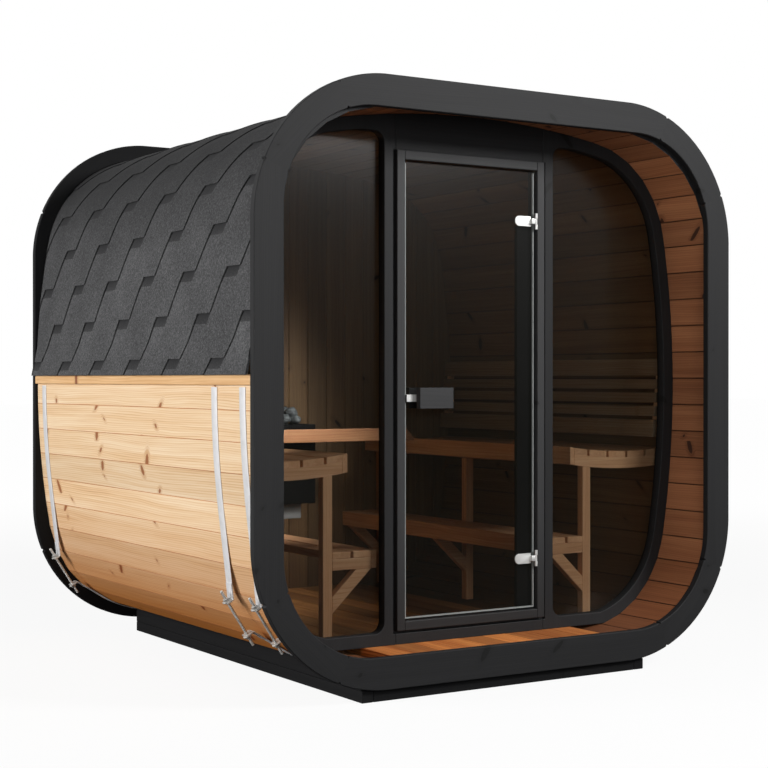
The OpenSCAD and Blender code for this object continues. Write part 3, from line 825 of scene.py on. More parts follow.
@dataclass(frozen=True)
class MetalFinish:
    """Brushed, galvanised or painted metal."""

    name: str
    colour: Colour
    roughness: float
    metallic: float = 1.0
    mottle: float = 0.12
    specular: float = 0.5
    cloud: Noise = Noise(38, 4, 0.6)
    cloud_share: float = 0.6
    scuffs: Point = (40, 40, 420)
    scuff: Noise = Noise(1.0, 2, 0.6)
    ends: tuple[float, float] = (0.3, 0.7)
    smoother: float = 0.85
    rougher: float = 1.2
    relief: float = 0.06
    relief_depth: float = 0.0004

    def make(self) -> bpy.types.Material:
        """Builds the material with soft mottling and light scuffs, which run level.

        Returns:
            The material.
        """
        r = Recipe(self.name)
        where = r.coordinates()
        scuff = r.noise(r.vector("MULTIPLY", where, self.scuffs), *self.scuff)
        mixed = r.shares(r.noise(where, *self.cloud), self.cloud_share, scuff)
        low = tuple(c * (1 - self.mottle) for c in self.colour)
        high = tuple(min(1.0, c * (1 + self.mottle)) for c in self.colour)
        rough = self.roughness * self.smoother, min(1.0, self.roughness * self.rougher)
        r.set(Base_Color=r.ramp(mixed, tuple(zip(self.ends, (low, high)))))
        r.set(Roughness=r.span(mixed, *self.ends, *rough))
        r.bump(scuff, self.relief, self.relief_depth)
        r.set(Metallic=self.metallic, Specular_IOR_Level=self.specular)
        return r.material


@dataclass(frozen=True)
class StoneFinish:
    """Dark split rock with pale grains."""

    name: str = "heater_rock"
    stops: tuple[tuple[float, Colour], ...] = (
        (0.32, srgb(30, 33, 34)), (0.52, srgb(68, 73, 74)), (0.7, srgb(146, 152, 150)),
    )
    cloud: Noise = Noise(24, 4, 0.6)
    cloud_share: float = 0.6
    specks: Noise = Noise(420, 2, 0.7)
    relief: float = 0.7
    relief_depth: float = 0.003
    roughness: float = 0.8

    def make(self) -> bpy.types.Material:
        """Builds the material from clouds and fine specks.

        Returns:
            The material.
        """
        r = Recipe(self.name)
        where = r.coordinates()
        mixed = r.shares(r.noise(where, *self.cloud), self.cloud_share, r.noise(where, *self.specks))
        r.set(Base_Color=r.ramp(mixed, self.stops), Roughness=self.roughness)
        r.bump(mixed, self.relief, self.relief_depth)
        return r.material


@dataclass(frozen=True)
class GlassFinish:
    """Bronze float glass: a clear dark film with a polished surface."""

    name: str
    tint: Colour
    cover: float
    roughness: float
    specular: float = 0.5
    index: float = 1.5

    def make(self) -> bpy.types.Material:
        """Builds the material; the film's cover is set on the shader's own alpha.

        Returns:
            The material.
        """
        r = Recipe(self.name)
        r.set(Base_Color=self.tint, Alpha=self.cover, Roughness=self.roughness)
        r.set(Specular_IOR_Level=self.specular, IOR=self.index)
        return r.material


FINISHES = (
    wood(
        "charcoal_stain", (34, 34, 35), (29, 29, 30), (25, 25, 26), (15, 15, 15), knots=0.6, knot_size=1.7,
        lines=0.4, tone_low=0.94, tone_high=1.04, roughness=0.62, relief=0.2, specular=0.22,
        room_tint=(0.35, 0.35, 0.35),
    ),
    wood(
        "frame_stain", (54, 54, 55), (48, 48, 49), (41, 41, 42), (26, 26, 26), knots=0.3,
        lines=0.4, tone_low=0.94, tone_high=1.06, roughness=0.6, relief=0.2, specular=0.3,
        low_tint=(0.35, 0.35, 0.35),
    ),
    # Near-black: the base's own black, and painted shade where the back ring and the hinge stop take it.
    wood(
        "base_black_and_shade", (25, 25, 26), (20, 20, 21), (17, 17, 18), (12, 12, 12), knots=0.3,
        lines=0.3, roughness=0.7, specular=0.12,
    ),
    wood(
        "outer_spruce", (244, 219, 186), (232, 196, 152), (194, 142, 96), (150, 90, 48), knots=0.42,
        knot_size=1.6, lines=0.85, tone_low=0.9, tone_high=1.03, low_tint=(0.66, 0.28, 0.02),
    ),
    # The two joint finishes are painted shade in the V joints between staves, outside and in the room.
    wood(
        "joint_shade_spruce", (206, 138, 86), (184, 118, 70), (150, 92, 54), (80, 46, 30), knots=0.0,
        low_tint=(0.6, 0.5, 0.4),
    ),
    wood(
        "batten_spruce", (226, 186, 138), (206, 160, 109), (172, 118, 72), (126, 70, 42), knots=0.7,
        knot_size=1.4,
    ),
    wood(
        "room_spruce", (182, 124, 84), (156, 100, 66), (112, 66, 42), (58, 32, 22), knots=0.4, knot_size=1.4,
        tone_low=0.8, tone_high=1.12, low_tint=(0.54, 0.46, 0.4), room_tint=(0.46, 0.66, 0.62),
    ),
    wood(
        "room_joint", (96, 58, 36), (82, 48, 30), (66, 38, 24), (40, 24, 16), knots=0.0,
        low_tint=(0.5, 0.45, 0.4), room_tint=(0.8, 1.0, 1.0),
    ),
    wood(
        "floor_spruce", (250, 168, 92), (212, 122, 60), (128, 66, 30), (64, 36, 22), knots=0.3,
        lines=1.0, tone_low=0.66, tone_high=1.16, room_tint=(0.46, 0.6, 0.66),
    ),
    wood(
        "bench_alder", (234, 188, 142), (212, 160, 114), (176, 122, 82), (104, 60, 36), knots=0.12,
        tone_low=0.92, tone_high=1.06,
    ),
    # A darker copy of the bench alder: painted shade on the heater's guard inside the room.
    wood(
        "guard_alder_shade", (177, 130, 89), (161, 111, 72), (134, 84, 51), (82, 46, 28), knots=0.12,
        tone_low=0.92, tone_high=1.06,
    ),
    # A darker, greyer copy of the bench alder: painted shade on the backrests deep in the room.
    wood(
        "backrest_alder_shade", (160, 142, 116), (144, 120, 92), (118, 92, 66), (70, 46, 32), knots=0.12,
        tone_low=0.92, tone_high=1.06,
    ),
    ShingleFinish(),
    StoneFinish(),
    MetalFinish("band_zinc", srgb(220, 219, 220), 0.55, 0.3, 0.06),
    MetalFinish("bolt_zinc", srgb(196, 194, 190), 0.42, 0.6, 0.16),
    MetalFinish("polished_steel", srgb(206, 206, 204), 0.5, 0.6, 0.04),
    MetalFinish("heater_black", srgb(12, 12, 12), 0.5, 0.0, 0.15, 0.06),
    MetalFinish("heater_grey", srgb(150, 150, 148), 0.42, 0.6, 0.08),
    GlassFinish("bronze_glass", srgb(22, 22, 18), 0.3, 0.16),
    # The pale arris is a painted highlight on the glass's edges.
    GlassFinish("glass_edge_highlight", srgb(150, 154, 152), 0.9, 0.18),
)


class Finishes:
    """Every finish of the sauna, made once."""

    def __init__(self) -> None:
        """Makes them all."""
        self.made = {finish.name: finish.make() for finish in FINISHES}

    def __getitem__(self, name: str) -> bpy.types.Material:
        """A finish by its name."""
        return self.made[name]


# ---------------------------------------------------------------- the shell's outline


@dataclass
class Outline:
    """The cabin's bowed square: four slack arcs joined by four tight ones, without a break in slope."""

    width: float = 2.034
    height: float = 2.034
    bow: float = 3.4
    corner: float = 0.45
    base: float = 0.04
    probe: float = 0.002
    steps: int = 60

    def __post_init__(self) -> None:
        """Works out the corner arc's centre, where it runs smoothly into both bows."""
        half_w, half_h = self.width / 2, self.height / 2
        side, top = self.bow - half_w, self.bow - half_h
        slope, shift = side / top, (side**2 - top**2) / (2 * top)
        self.reach = self.bow - self.corner
        a, b, c = 1 + slope**2, 2 * (side + slope * shift), side**2 + shift**2 - self.reach**2
        self.cx = (-b + math.sqrt(b * b - 4 * a * c)) / (2 * a)
        self.cz = slope * self.cx + shift
        self.mid = self.base + half_h
        self.side_angle = math.asin(self.cz / self.reach)
        self.top_angle = math.asin(self.cx / self.reach)

    def quarter(self, inset: float = 0.0) -> np.ndarray:
        """From the middle of the right side up to the middle of the top.

        Each arc is its centre plus its radius times the cosine and sine of its turn.

        Args:
            inset: How far the line lies inside the outline.
        Returns:
            Points as X and height above the middle.
        """
        def arc(x: float, z: float, radius: float, start: float, end: float) -> np.ndarray:
            """Points on one arc."""
            turn = np.linspace(start, end, self.steps)
            return np.stack([x + radius * np.cos(turn), z + radius * np.sin(turn)], 1)

        level = math.pi / 2
        slack, tight = self.bow - inset, self.corner - inset
        return np.concatenate([
            arc(self.width / 2 - self.bow, 0, slack, 0, self.side_angle)[:-1],
            arc(self.cx, self.cz, tight, self.side_angle, level - self.top_angle)[:-1],
            arc(0, self.height / 2 - self.bow, slack, level - self.top_angle, level),
        ])

    def walk(self) -> Pair:
        """The whole outline, anticlockwise from the middle of the bottom.

        Returns:
            Its points as X and Z, and the distance run to each.
        """
        up = self.quarter()
        right = np.concatenate([up[::-1] * [1, -1], up[1:]])
        left = right[::-1][1:-1] * [-1, 1]
        loop = np.concatenate([right, left, right[:1]]) + [0, self.mid]
        return loop, np.concatenate([[0], np.cumsum(np.linalg.norm(np.diff(loop, axis=0), axis=1))])

    def at(self, run: np.ndarray, offset: np.ndarray | float = 0.0) -> np.ndarray:
        """Points at given distances round the outline, moved out along the normal.

        The normal stands square to the line between two points a little ahead and behind.

        Args:
            run: Distances from the middle of the bottom.
            offset: How far out each point is moved.
        Returns:
            The points as X and Z.
        """
        loop, total = self.walk()

        def point(distance: np.ndarray) -> np.ndarray:
            """The outline's own point at a distance."""
            there = np.mod(distance, total[-1])
            return np.stack([np.interp(there, total, loop[:, part]) for part in (0, 1)], -1)

        run = np.mod(run, total[-1])
        slope = point(run + self.probe) - point(run - self.probe)
        slope /= np.linalg.norm(slope, axis=-1, keepdims=True)
        normal = np.stack([slope[..., 1], -slope[..., 0]], -1)
        return point(run) + normal * np.asarray(offset)[..., None]

    def half_width(self, z: np.ndarray, inset: float) -> np.ndarray:
        """How far the inset outline reaches sideways at a height."""
        up = self.quarter(inset)
        return np.interp(np.abs(z - self.mid), up[:, 1], up[:, 0])

    def half_height(self, x: np.ndarray, inset: float) -> np.ndarray:
        """How far the inset outline reaches up and down at a distance from the middle."""
        up = self.quarter(inset)[::-1]
        return np.interp(np.abs(x), up[:, 0], up[:, 1])


OUTLINE = Outline()
AROUND = OUTLINE.walk()[1][-1]  # the whole way round the outline
FRONT = -1.005
BACK = 1.005
UP = np.array([0, OUTLINE.mid])


def unit(way: np.ndarray) -> np.ndarray:
    """Directions of length 1."""
    return way / np.linalg.norm(way, axis=-1, keepdims=True)


# ---------------------------------------------------------------- sub-assemblies


@dataclass
class Staves:
    """The cabin's boards, each a flat facet of the bowed outline, with V joints outside and in."""

    finishes: Finishes
    count: int = 67
    joint: float = 0.0012
    room_joint: float = 0.0026
    end_ease: float = 0.001
    first_seed: int = 11
    nodes: tuple[str, ...] = (
        "floor_staves", "roof_staves", "left_wall_staves", "right_wall_staves",
        "lower_corner_staves", "upper_corner_staves",
    )
    # The V joints' faces take the joint finishes, which are painted shade in the grooves.
    woods: tuple[str, ...] = ("outer_spruce", "room_spruce", "charcoal_stain", "joint_shade_spruce", "room_joint")

    def profile(self, index: int) -> np.ndarray:
        """Four corners of a stave, each cut back twice along its sides to ease it.

        Args:
            index: Which stave, counted from the middle of the bottom.
        Returns:
            Eight points as X and Z, the outer side first.
        """
        edges = np.array([index, index + 1]) * AROUND / self.count
        corners = np.concatenate([OUTLINE.at(edges), OUTLINE.at(edges, -STAVE_T)[::-1]])
        back = unit(np.roll(corners, 1, 0) - corners)
        on = unit(np.roll(corners, -1, 0) - corners)
        cut = np.array([self.joint, self.joint, self.room_joint, self.room_joint])[:, None]
        return np.stack([corners + back * cut, corners + on * cut], 1).reshape(-1, 2)

    def node(self, x: float, z: float) -> str:
        """The node that a stave belongs to.

        Args:
            x: Its middle, sideways.
            z: Its middle, above the cabin's own.
        Returns:
            The node's name.
        """
        if abs(x) > OUTLINE.cx and abs(z) > OUTLINE.cz:
            return "upper_corner_staves" if z > 0 else "lower_corner_staves"
        if abs(x) > abs(z):
            return "right_wall_staves" if x > 0 else "left_wall_staves"
        return "roof_staves" if z > 0 else "floor_staves"

    def build(self) -> None:
        """Carries each profile along the cabin and groups the staves as the nodes are."""
        low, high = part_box("roof_staves")
        ends = np.array([low.y, low.y + self.end_ease, high.y - self.end_ease, high.y])
        groups = {node: Surface(seed) for seed, node in enumerate(self.nodes, self.first_seed)}
        outer, room, shaded_ends_mark, outer_joint_shade, inner_joint_shade = range(len(self.woods))
        # Painted shade: the faces of the V joints take the darker joint finishes.
        marks = np.array([
            outer_joint_shade, outer, outer_joint_shade, outer_joint_shade, inner_joint_shade, room, inner_joint_shade, outer_joint_shade,
        ])
        for index in range(self.count):
            ring = self.profile(index)
            grid = np.empty((len(ends), len(ring), 3))
            grid[..., 0], grid[..., 2], grid[..., 1] = ring[:, 0], ring[:, 1], ends[:, None]
            way = unit(ring[2] - ring[1])
            centred = ring - ring.mean(0)
            across = np.broadcast_to(centred @ way, grid.shape[:2])
            deep = np.broadcast_to(centred @ np.array([way[1], -way[0]]), grid.shape[:2])
            grain = np.stack([grid[..., 1], across, deep], -1)
            node = self.node(*(ring.mean(0) - UP))
            # The stave ends take the charcoal stain: painted shade where they show inside the ring.
            groups[node].shell(grid, grain, marks=marks, cap=shaded_ends_mark)
        finishes = [self.finishes[name] for name in self.woods]
        for node, surface in groups.items():
            place(surface.build(node + "_boards", finishes), node)


@dataclass
class Ring:
    """A charcoal trim ring at one end: four long boards and four bent ones, notched where they meet."""

    finishes: Finishes
    side: str
    stain: str
    lap_side: float = 0.013
    lap_top: float = 0.026
    face: float = 0.11
    outer_r: float = 0.51
    inner_r: float = 0.355
    joint: float = 22.5
    notch: float = 0.0065
    ease: float = 0.0025
    steps: int = 13
    tiny: float = 1e-9

    def __post_init__(self) -> None:
        """Works out the ring's half sizes, its middle and how far it runs along the cabin."""
        self.half = np.array([OUTLINE.width / 2 + self.lap_side, OUTLINE.height / 2 + self.lap_top / 2])
        self.up = np.array([0, OUTLINE.base + self.half[1]])
        low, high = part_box(f"{self.side}_ring_boards")
        self.span = (low.y, high.y)

    def rays(self, start: np.ndarray, way: np.ndarray) -> Pair:
        """Where rays from points inside meet the inner and the outer outline, in one quarter.

        A ray ends on the straight edge that it meets first, or on the corner's circle past its centre.

        Args:
            start: The rays' starting points.
            way: Their directions.
        Returns:
            The points on the inner and on the outer outline.
        """
        found = []
        for inset, radius in ((self.face, self.inner_r), (0.0, self.outer_r)):
            half = self.half - inset
            moves = np.abs(way) > self.tiny
            flat = np.where(moves, (half - start) / np.where(moves, way, 1), np.inf).min(1)
            middle = half - radius
            gap = start - middle
            b = (gap * way).sum(1)
            c = (gap**2).sum(1) - radius**2
            bend = -b + np.sqrt(np.maximum(b * b - c, 0))
            curved = (start + way * bend[:, None] > middle + self.tiny).all(1)
            found.append(start + way * np.where(curved, bend, flat)[:, None])
        return found[0], found[1]

    def fan(self, start: float, end: float) -> Pair:
        """Rays turning about the corner's centre, with a close pair at each end for the notch.

        Args:
            start: The first ray's angle above level, in degrees.
            end: The last ray's.
        Returns:
            The points where they meet the inner and the outer outline.
        """
        turn = np.radians(np.linspace(start, end, self.steps))
        nudge = self.notch / self.outer_r * np.sign(end - start)
        turn = np.sort(np.append(turn, [turn[0] + nudge, turn[-1] - nudge]))
        way = np.stack([np.cos(turn), np.sin(turn)], 1)
        return self.rays(np.broadcast_to(self.half - self.outer_r, way.shape), way)

    def board(self, surface: Surface, inner: np.ndarray, outer: np.ndarray, axis: np.ndarray) -> None:
        """Adds one board between its inner and outer lines.

        The profile is a rectangle with eased corners, and the last sections are drawn in by the notch at
        both edges.

        Args:
            surface: Where the board is gathered.
            inner: Points on the inner edge, as X and height above the middle.
            outer: Points on the outer edge.
            axis: The direction of the grain in X and Z.
        """
        low, high = self.span
        inner, outer = inner + self.up, outer + self.up
        inset = np.zeros(len(inner))
        inset[[0, -1]] = self.notch
        ease = self.ease
        depth = np.array([low, low + ease, high - ease, high, high, high - ease, low + ease, low])
        edge = np.array([ease, 0, 0, ease, -ease, 0, 0, -ease])
        from_inner = np.array([1, 1, 1, 1, 0, 0, 0, 0])
        width = np.linalg.norm(outer - inner, axis=1)[:, None]
        way = (outer - inner) / width
        along = np.where(from_inner, edge + inset[:, None], width + edge - inset[:, None])
        flat = inner[:, None, :] + way[:, None, :] * along[..., None]
        grid = np.stack([flat[..., 0], np.broadcast_to(depth, along.shape), flat[..., 1]], -1)
        side = np.array([-axis[1], axis[0]])
        surface.shell(grid, np.stack([flat @ axis, flat @ side, grid[..., 1]], -1))

    def long_boards(self, surface: Surface, upright: bool) -> None:
        """Adds the two boards on the left and right, or at the top and bottom.

        Half of the inner and the outer line comes from a fan and is mirrored; the fan's close pair at
        the middle of the board is left out.

        Args:
            surface: Where they are gathered.
            upright: Whether they stand.
        """
        inner, outer = self.fan(0.0, self.joint) if upright else self.fan(90 - self.joint, 90.0)
        outwards = slice(2, None) if upright else slice(-3, None, -1)
        mirror = np.array([1, -1]) if upright else np.array([-1, 1])
        axis = np.array([0.0, 1.0]) if upright else np.array([1.0, 0.0])
        lines = [np.concatenate([line[outwards][::-1] * mirror, line[outwards]]) for line in (inner, outer)]
        for sign in (1, -1):
            flip = np.array([sign, 1]) if upright else np.array([1, sign])
            self.board(surface, lines[0] * flip, lines[1] * flip, axis)

    def build(self) -> None:
        """Lays the bent boards over the corners and the long boards over the straights."""
        bends, longs = Surface(seed=21), Surface(seed=22)
        inner, outer = self.fan(self.joint, 90 - self.joint)
        for flip in np.array([[1, 1], [-1, 1], [-1, -1], [1, -1]]):
            self.board(bends, inner * flip, outer * flip, np.array([1, -1]) / math.sqrt(2) * flip)
        for upright in (True, False):
            self.long_boards(longs, upright)
        finish = [self.finishes[self.stain]]
        place(bends.build(f"{self.side}_ring_bends", finish), f"{self.side}_ring_corners")
        place(longs.build(f"{self.side}_ring_longs", finish), f"{self.side}_ring_boards")


@dataclass
class Roof:
    """The covering: slanting strips of shingle whose edges step back at every course."""

    finishes: Finishes
    course: float = 0.152
    first: float = 0.245
    phase: float = -0.09
    courses: range = range(12, -3, -1)
    strips: range = range(-5, 16)
    rows: int = 9
    eave_rise: float = 0.037
    kick: float = 0.02
    kick_height: float = 0.12
    bed: float = 0.0008
    skin: float = 0.006
    lip: float = 0.0028
    lip_fade: float = 0.035
    lip_full: float = 0.03
    lip_least: float = 0.6
    hollow: float = 0.0026
    hollow_edge: float = 0.008
    hollow_foot: float = 0.07
    seam: float = 0.002
    seam_width: float = 0.01
    ring_face: float = 0.0285
    front_ribs: tuple[float, ...] = (0, 0.003, 0.02, 0.06, 0.12, 0.18)
    back_ribs: tuple[float, ...] = (-0.004, 0.004, 0.05)
    narrowest: float = 1e-4
    smooth: float = 25

    def edge(self, number: int) -> tuple[np.ndarray, np.ndarray, np.ndarray]:
        """A strip's front edge from the ridge to the eave.

        Going down a course the edge slants back by one step, and at the course's foot it steps back
        again, so each whole course carries it back by two.

        Args:
            number: Which strip, counted from the front.
        Returns:
            How far each point lies below its course's top, its height above the middle of the side, and
            its place along the roof.
        """
        below, height, along = [], [], []
        for rank in self.courses:
            upper, lower = (self.first + self.course * level for level in (rank + 1, rank))
            if lower >= AROUND / 4 or upper <= self.eave_rise:
                continue
            rise = upper + (lower - upper) * np.linspace(0, 1, self.rows)
            rise = np.clip(rise, self.eave_rise, AROUND / 4)
            spot = (upper - rise) / self.course
            below.append(spot * self.course)
            height.append(rise)
            slant = SHINGLE_STEP * spot - 2 * SHINGLE_STEP * rank
            along.append(self.phase + slant + SHINGLE_REPEAT * number)
        return np.concatenate(below), np.concatenate(height), np.concatenate(along)

    def thickness(self, from_edge: np.ndarray, below: np.ndarray) -> np.ndarray:
        """How high the skin lies over the boards.

        It is a base, plus a lip that dies away from the front edge, less a hollow at the back under the
        next strip's step, less a seam at the far edge.

        Args:
            from_edge: Distance from the front edge.
            below: Distance below the course's top.
        Returns:
            The height at each point.
        """
        back = from_edge - (SHINGLE_REPEAT - SHINGLE_STEP)
        lip = self.lip * np.exp(-from_edge / self.lip_fade)
        lip = lip * np.clip(below / self.lip_full, self.lip_least, 1)
        hollow = self.hollow * np.clip(back / self.hollow_edge, 0, 1)
        hollow = hollow * np.clip(1 - below / self.hollow_foot, 0, 1)
        to_end = from_edge - SHINGLE_REPEAT + self.seam_width
        return self.skin + lip - hollow - self.seam * np.clip(to_end / self.seam_width, 0, 1)

    def strip(self, surface: Surface, number: int, side: int) -> None:
        """Adds one strip as a closed skin over every course from the ridge to the eave.

        Args:
            surface: Where the strip is gathered.
            number: Which strip, counted from the front.
            side: 1 on the right and -1 on the left.
        """
        def closed(over: np.ndarray, under: np.ndarray) -> np.ndarray:
            """Runs over the skin and back under it."""
            return np.concatenate([over, under[:, ::-1]], 1)

        below, height, along = self.edge(number)
        back = SHINGLE_REPEAT - SHINGLE_STEP + np.array(self.back_ribs)
        end = [SHINGLE_REPEAT - self.seam_width, SHINGLE_REPEAT]
        ribs = np.concatenate([self.front_ribs, back, end])
        from_edge, down = np.meshgrid(ribs, below)
        y = np.clip(FRONT + along[:, None] + from_edge, FRONT + self.ring_face, BACK - self.ring_face)
        if np.ptp(y, axis=1).max() < self.narrowest:
            return
        kicked = self.kick * np.clip(1 - (height - self.eave_rise) / self.kick_height, 0, 1)[:, None]
        run = (AROUND / 4 + height)[:, None] + 0 * y
        over = OUTLINE.at(run, self.thickness(from_edge, down) + kicked)
        skin = closed(over, OUTLINE.at(run, self.bed + kicked + 0 * y))
        grid = np.stack([skin[..., 0] * side, closed(y, y), skin[..., 1]], -1)
        tab = closed(from_edge, from_edge)
        surface.shell(grid, np.stack([tab, closed(down, down), np.full_like(tab, number)], -1), shift=False)

    def build(self) -> None:
        """Lays the strips on both sides and eases the battens under the eaves."""
        surface = Surface(seed=31)
        for side in (-1, 1):
            for number in self.strips:
                self.strip(surface, number, side)
        shingles = surface.build("shingle_courses", [self.finishes["shingle_granules"]], self.smooth)
        place(shingles, "roof_shingles")
        battens = Dress("eave_battens", Axis.Y, "batten_spruce", Slot.STAVE, seed=36, ease=0.003)
        battens.build(self.finishes)


class Bar(NamedTuple):
    """A bar turned round the rod: places along it, the radius at each, and its number of sides."""

    places: tuple[float, ...]
    radii: tuple[float, ...]
    sides: int


@dataclass
class Hoops:
    """Steel bands that pull the staves together, each tightened by a threaded rod low on the side."""

    finishes: Finishes
    places: tuple[float, ...] = (-0.903, -0.698, 0.897)
    width: float = 0.042
    thick: float = 0.002
    clear: float = 0.0003
    batten_foot: float = 0.003
    beam_gap: float = 0.01
    end_gap: float = 0.002
    points: int = 400
    track_end: float = 1.1
    lower_end: float = 0.9
    section_r: float = 0.0006
    rod_angle: float = 32.5
    spread: float = 25.5
    rod_off: float = 0.038
    rod_length: float = 0.228
    rod_d: float = 0.0105
    rod_sides: int = 12
    threads: int = 229
    thread_depth: float = 0.00035
    tip: float = 0.0012
    ear_gap: float = 0.137
    ear_t: float = 0.004
    fold: float = 0.055
    fold_points: int = 5
    fold_width: float = 0.94
    fold_gap: float = 0.0002
    washer: Bar = Bar((0.0, 0.0003, 0.0026, 0.0029), (0.0153, 0.0158, 0.0158, 0.0153), 24)
    nut: Bar = Bar((0.003, 0.004, 0.011, 0.012), (0.0094, 0.0106, 0.0106, 0.0094), 6)
    nut_turn: float = 0.4

    def frame(self, angle: float) -> tuple[np.ndarray, np.ndarray, np.ndarray]:
        """Directions at the lower right corner.

        Args:
            angle: Degrees below level.
        Returns:
            The corner arc's centre, the way out at that angle, and the way up along the outline.
        """
        a = math.radians(angle)
        return (
            np.array([OUTLINE.cx, OUTLINE.mid - OUTLINE.cz]),
            np.array([math.cos(a), -math.sin(a)]),
            np.array([math.sin(a), math.cos(a)]),
        )

    def end(self, angle: float, reach: float, start: float, hand: int) -> Pair:
        """The straight end of a band, a tangent of the outline.

        Args:
            angle: Where it leaves the outline, in degrees below level.
            reach: How far the outline lies from the corner's centre there.
            start: How far along the tangent the band leaves the outline.
            hand: 1 for the upper band and -1 for the lower.
        Returns:
            The point where it leaves the staves and the point where it meets its ear.
        """
        centre, out, up = self.frame(self.rod_angle)
        _, normal, rise = self.frame(angle)
        lift = self.thick / 2 + self.clear
        v = self.ear_gap / 2 * hand
        u = (reach - v * (up @ normal)) / (out @ normal)
        return centre + normal * (reach + lift) + rise * start, centre + out * u + up * v + normal * lift

    def bands(self) -> Pair:
        """The upper and the lower band's middle line: along the staves, then straight to its ear.

        Returns:
            The two lines as X and Z.
        """
        upper_angle = self.rod_angle - self.spread
        turn = OUTLINE.side_angle - math.radians(upper_angle)
        reach, start = OUTLINE.bow - OUTLINE.reach * math.cos(turn), OUTLINE.reach * math.sin(turn)
        upper_end = self.end(upper_angle, reach, start, 1)
        lower_end = self.end(self.rod_angle + self.spread, OUTLINE.corner, 0.0, -1)
        top_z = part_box("eave_battens")[0].z - self.batten_foot
        base_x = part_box("base_crossbeams")[1].x + self.beam_gap
        runs = np.linspace(0, AROUND / 4 * self.track_end, self.points)
        track = OUTLINE.at(runs, self.thick / 2 + self.clear)
        x, z = track.T
        upper = track[(z > upper_end[0][1] + self.end_gap) & (z < top_z)][::-1]
        at_corner = (z < lower_end[0][1] - self.end_gap) & (runs < AROUND / 4 * self.lower_end)
        lower = track[(x > base_x) & at_corner]
        return np.concatenate([upper, upper_end]), np.concatenate([lower, lower_end])

    def sweep(
        self, surface: Surface, line: np.ndarray, y: float, side: int, width: float, lift: float = 0.0
    ) -> None:
        """Carries a flat strip's section along a line in X and Z.

        Args:
            surface: Where the strip is gathered.
            line: Its middle line.
            y: Its place along the cabin.
            side: 1 on the right and -1 on the left.
            width: The strip's width.
            lift: How far it is moved out.
        """
        slope = unit(np.gradient(line, axis=0))
        normal = np.stack([-slope[:, 1], slope[:, 0]], 1)
        if (normal * (line - UP)).sum() < 0:
            normal = -normal
        section = rounded_rectangle(width / 2, self.thick / 2, self.section_r)
        flat = line[:, None, :] + normal[:, None, :] * (section[:, 1] + lift)[None, :, None]
        across = np.broadcast_to(section[:, 0] + y, flat.shape[:2])
        surface.shell(np.stack([flat[..., 0] * side, across, flat[..., 1]], -1))

    def rod(self, surface: Surface, y: float, side: int) -> None:
        """A threaded rod with nuts and washers outside both ears.

        A circle is carried along the rod with its radius rippled by the thread; nuts are six-sided rings.

        Args:
            surface: Where it is gathered.
            y: Its place along the cabin.
            side: 1 on the right and -1 on the left.
        """
        centre, out, up = self.frame(self.rod_angle)
        middle = centre + out * (OUTLINE.corner + self.rod_off)
        along = np.array([up[0] * side, 0, up[1]])
        away = np.array([out[0] * side, 0, out[1]])
        start = np.array([middle[0] * side, y, middle[1]])

        def turned(places: np.ndarray, radii: np.ndarray, sides: int, spin: float = 0.0) -> None:
            """A round or many-sided bar.

            Args:
                places: Places along the rod.
                radii: The bar's radius at each.
                sides: How many sides it has.
                spin: How far it is turned.
            """
            turn = np.linspace(0, 2 * np.pi, sides, endpoint=False) + spin
            ring = np.cos(turn)[:, None] * away + np.sin(turn)[:, None] * np.array([0, 1, 0])
            surface.shell(start + along * places[:, None, None] + ring[None] * radii[:, None, None])

        thread = self.rod_d / 2 - self.thread_depth * (np.arange(self.threads) % 2)
        thread[[0, -1]] = self.rod_d / 2 - self.tip
        half = self.rod_length / 2
        turned(np.linspace(-half, half, self.threads), thread, self.rod_sides)
        face = self.ear_gap / 2 + self.ear_t / 2
        for end in (-1, 1):
            for bar, spin in ((self.washer, 0.0), (self.nut, self.nut_turn * end)):
                turned(end * (face + np.array(bar.places)), np.array(bar.radii), bar.sides, spin)

    def build(self) -> None:
        """Makes the bands with their folded ends, the ears and the rods."""
        bands, rods = Surface(seed=41), Surface(seed=42)
        lines = self.bands()
        for y in self.places:
            for side in (-1, 1):
                for line in lines:
                    self.sweep(bands, line, y, side, self.width)
                    end, before = line[-1], line[-2]
                    back = np.linspace(self.fold, 0.0, self.fold_points)[:, None]
                    fold = end + unit(before - end) * back
                    width, lift = self.width * self.fold_width, self.thick + self.fold_gap
                    self.sweep(bands, fold, y, side, width, lift)
                self.rod(rods, y, side)
        zinc, bolt = [self.finishes["band_zinc"]], [self.finishes["bolt_zinc"]]
        place(bands.build("hoop_bands", zinc, smooth=30), "hoop_straps")
        place(rods.build("hoop_rods", bolt, smooth=35), "tension_rods")
        brackets = Dress("hoop_brackets", Axis.Y, "bolt_zinc", Slot.STEEL, seed=43, ease=0.0008)
        brackets.build(self.finishes)


@dataclass
class Base:
    """The charcoal runners, cross beams and cradle under the cabin."""

    finishes: Finishes
    timbers: tuple[tuple[str, Axis], ...] = (
        ("base_runners", Axis.Y), ("base_crossbeams", Axis.X), ("cradle_rails", Axis.Y),
    )

    def build(self) -> None:
        """Eases every timber, with its grain along its length."""
        for node, axis in self.timbers:
            Dress(node, axis, "base_black_and_shade", Slot.BLACK, seed=50, ease=0.003).build(self.finishes)


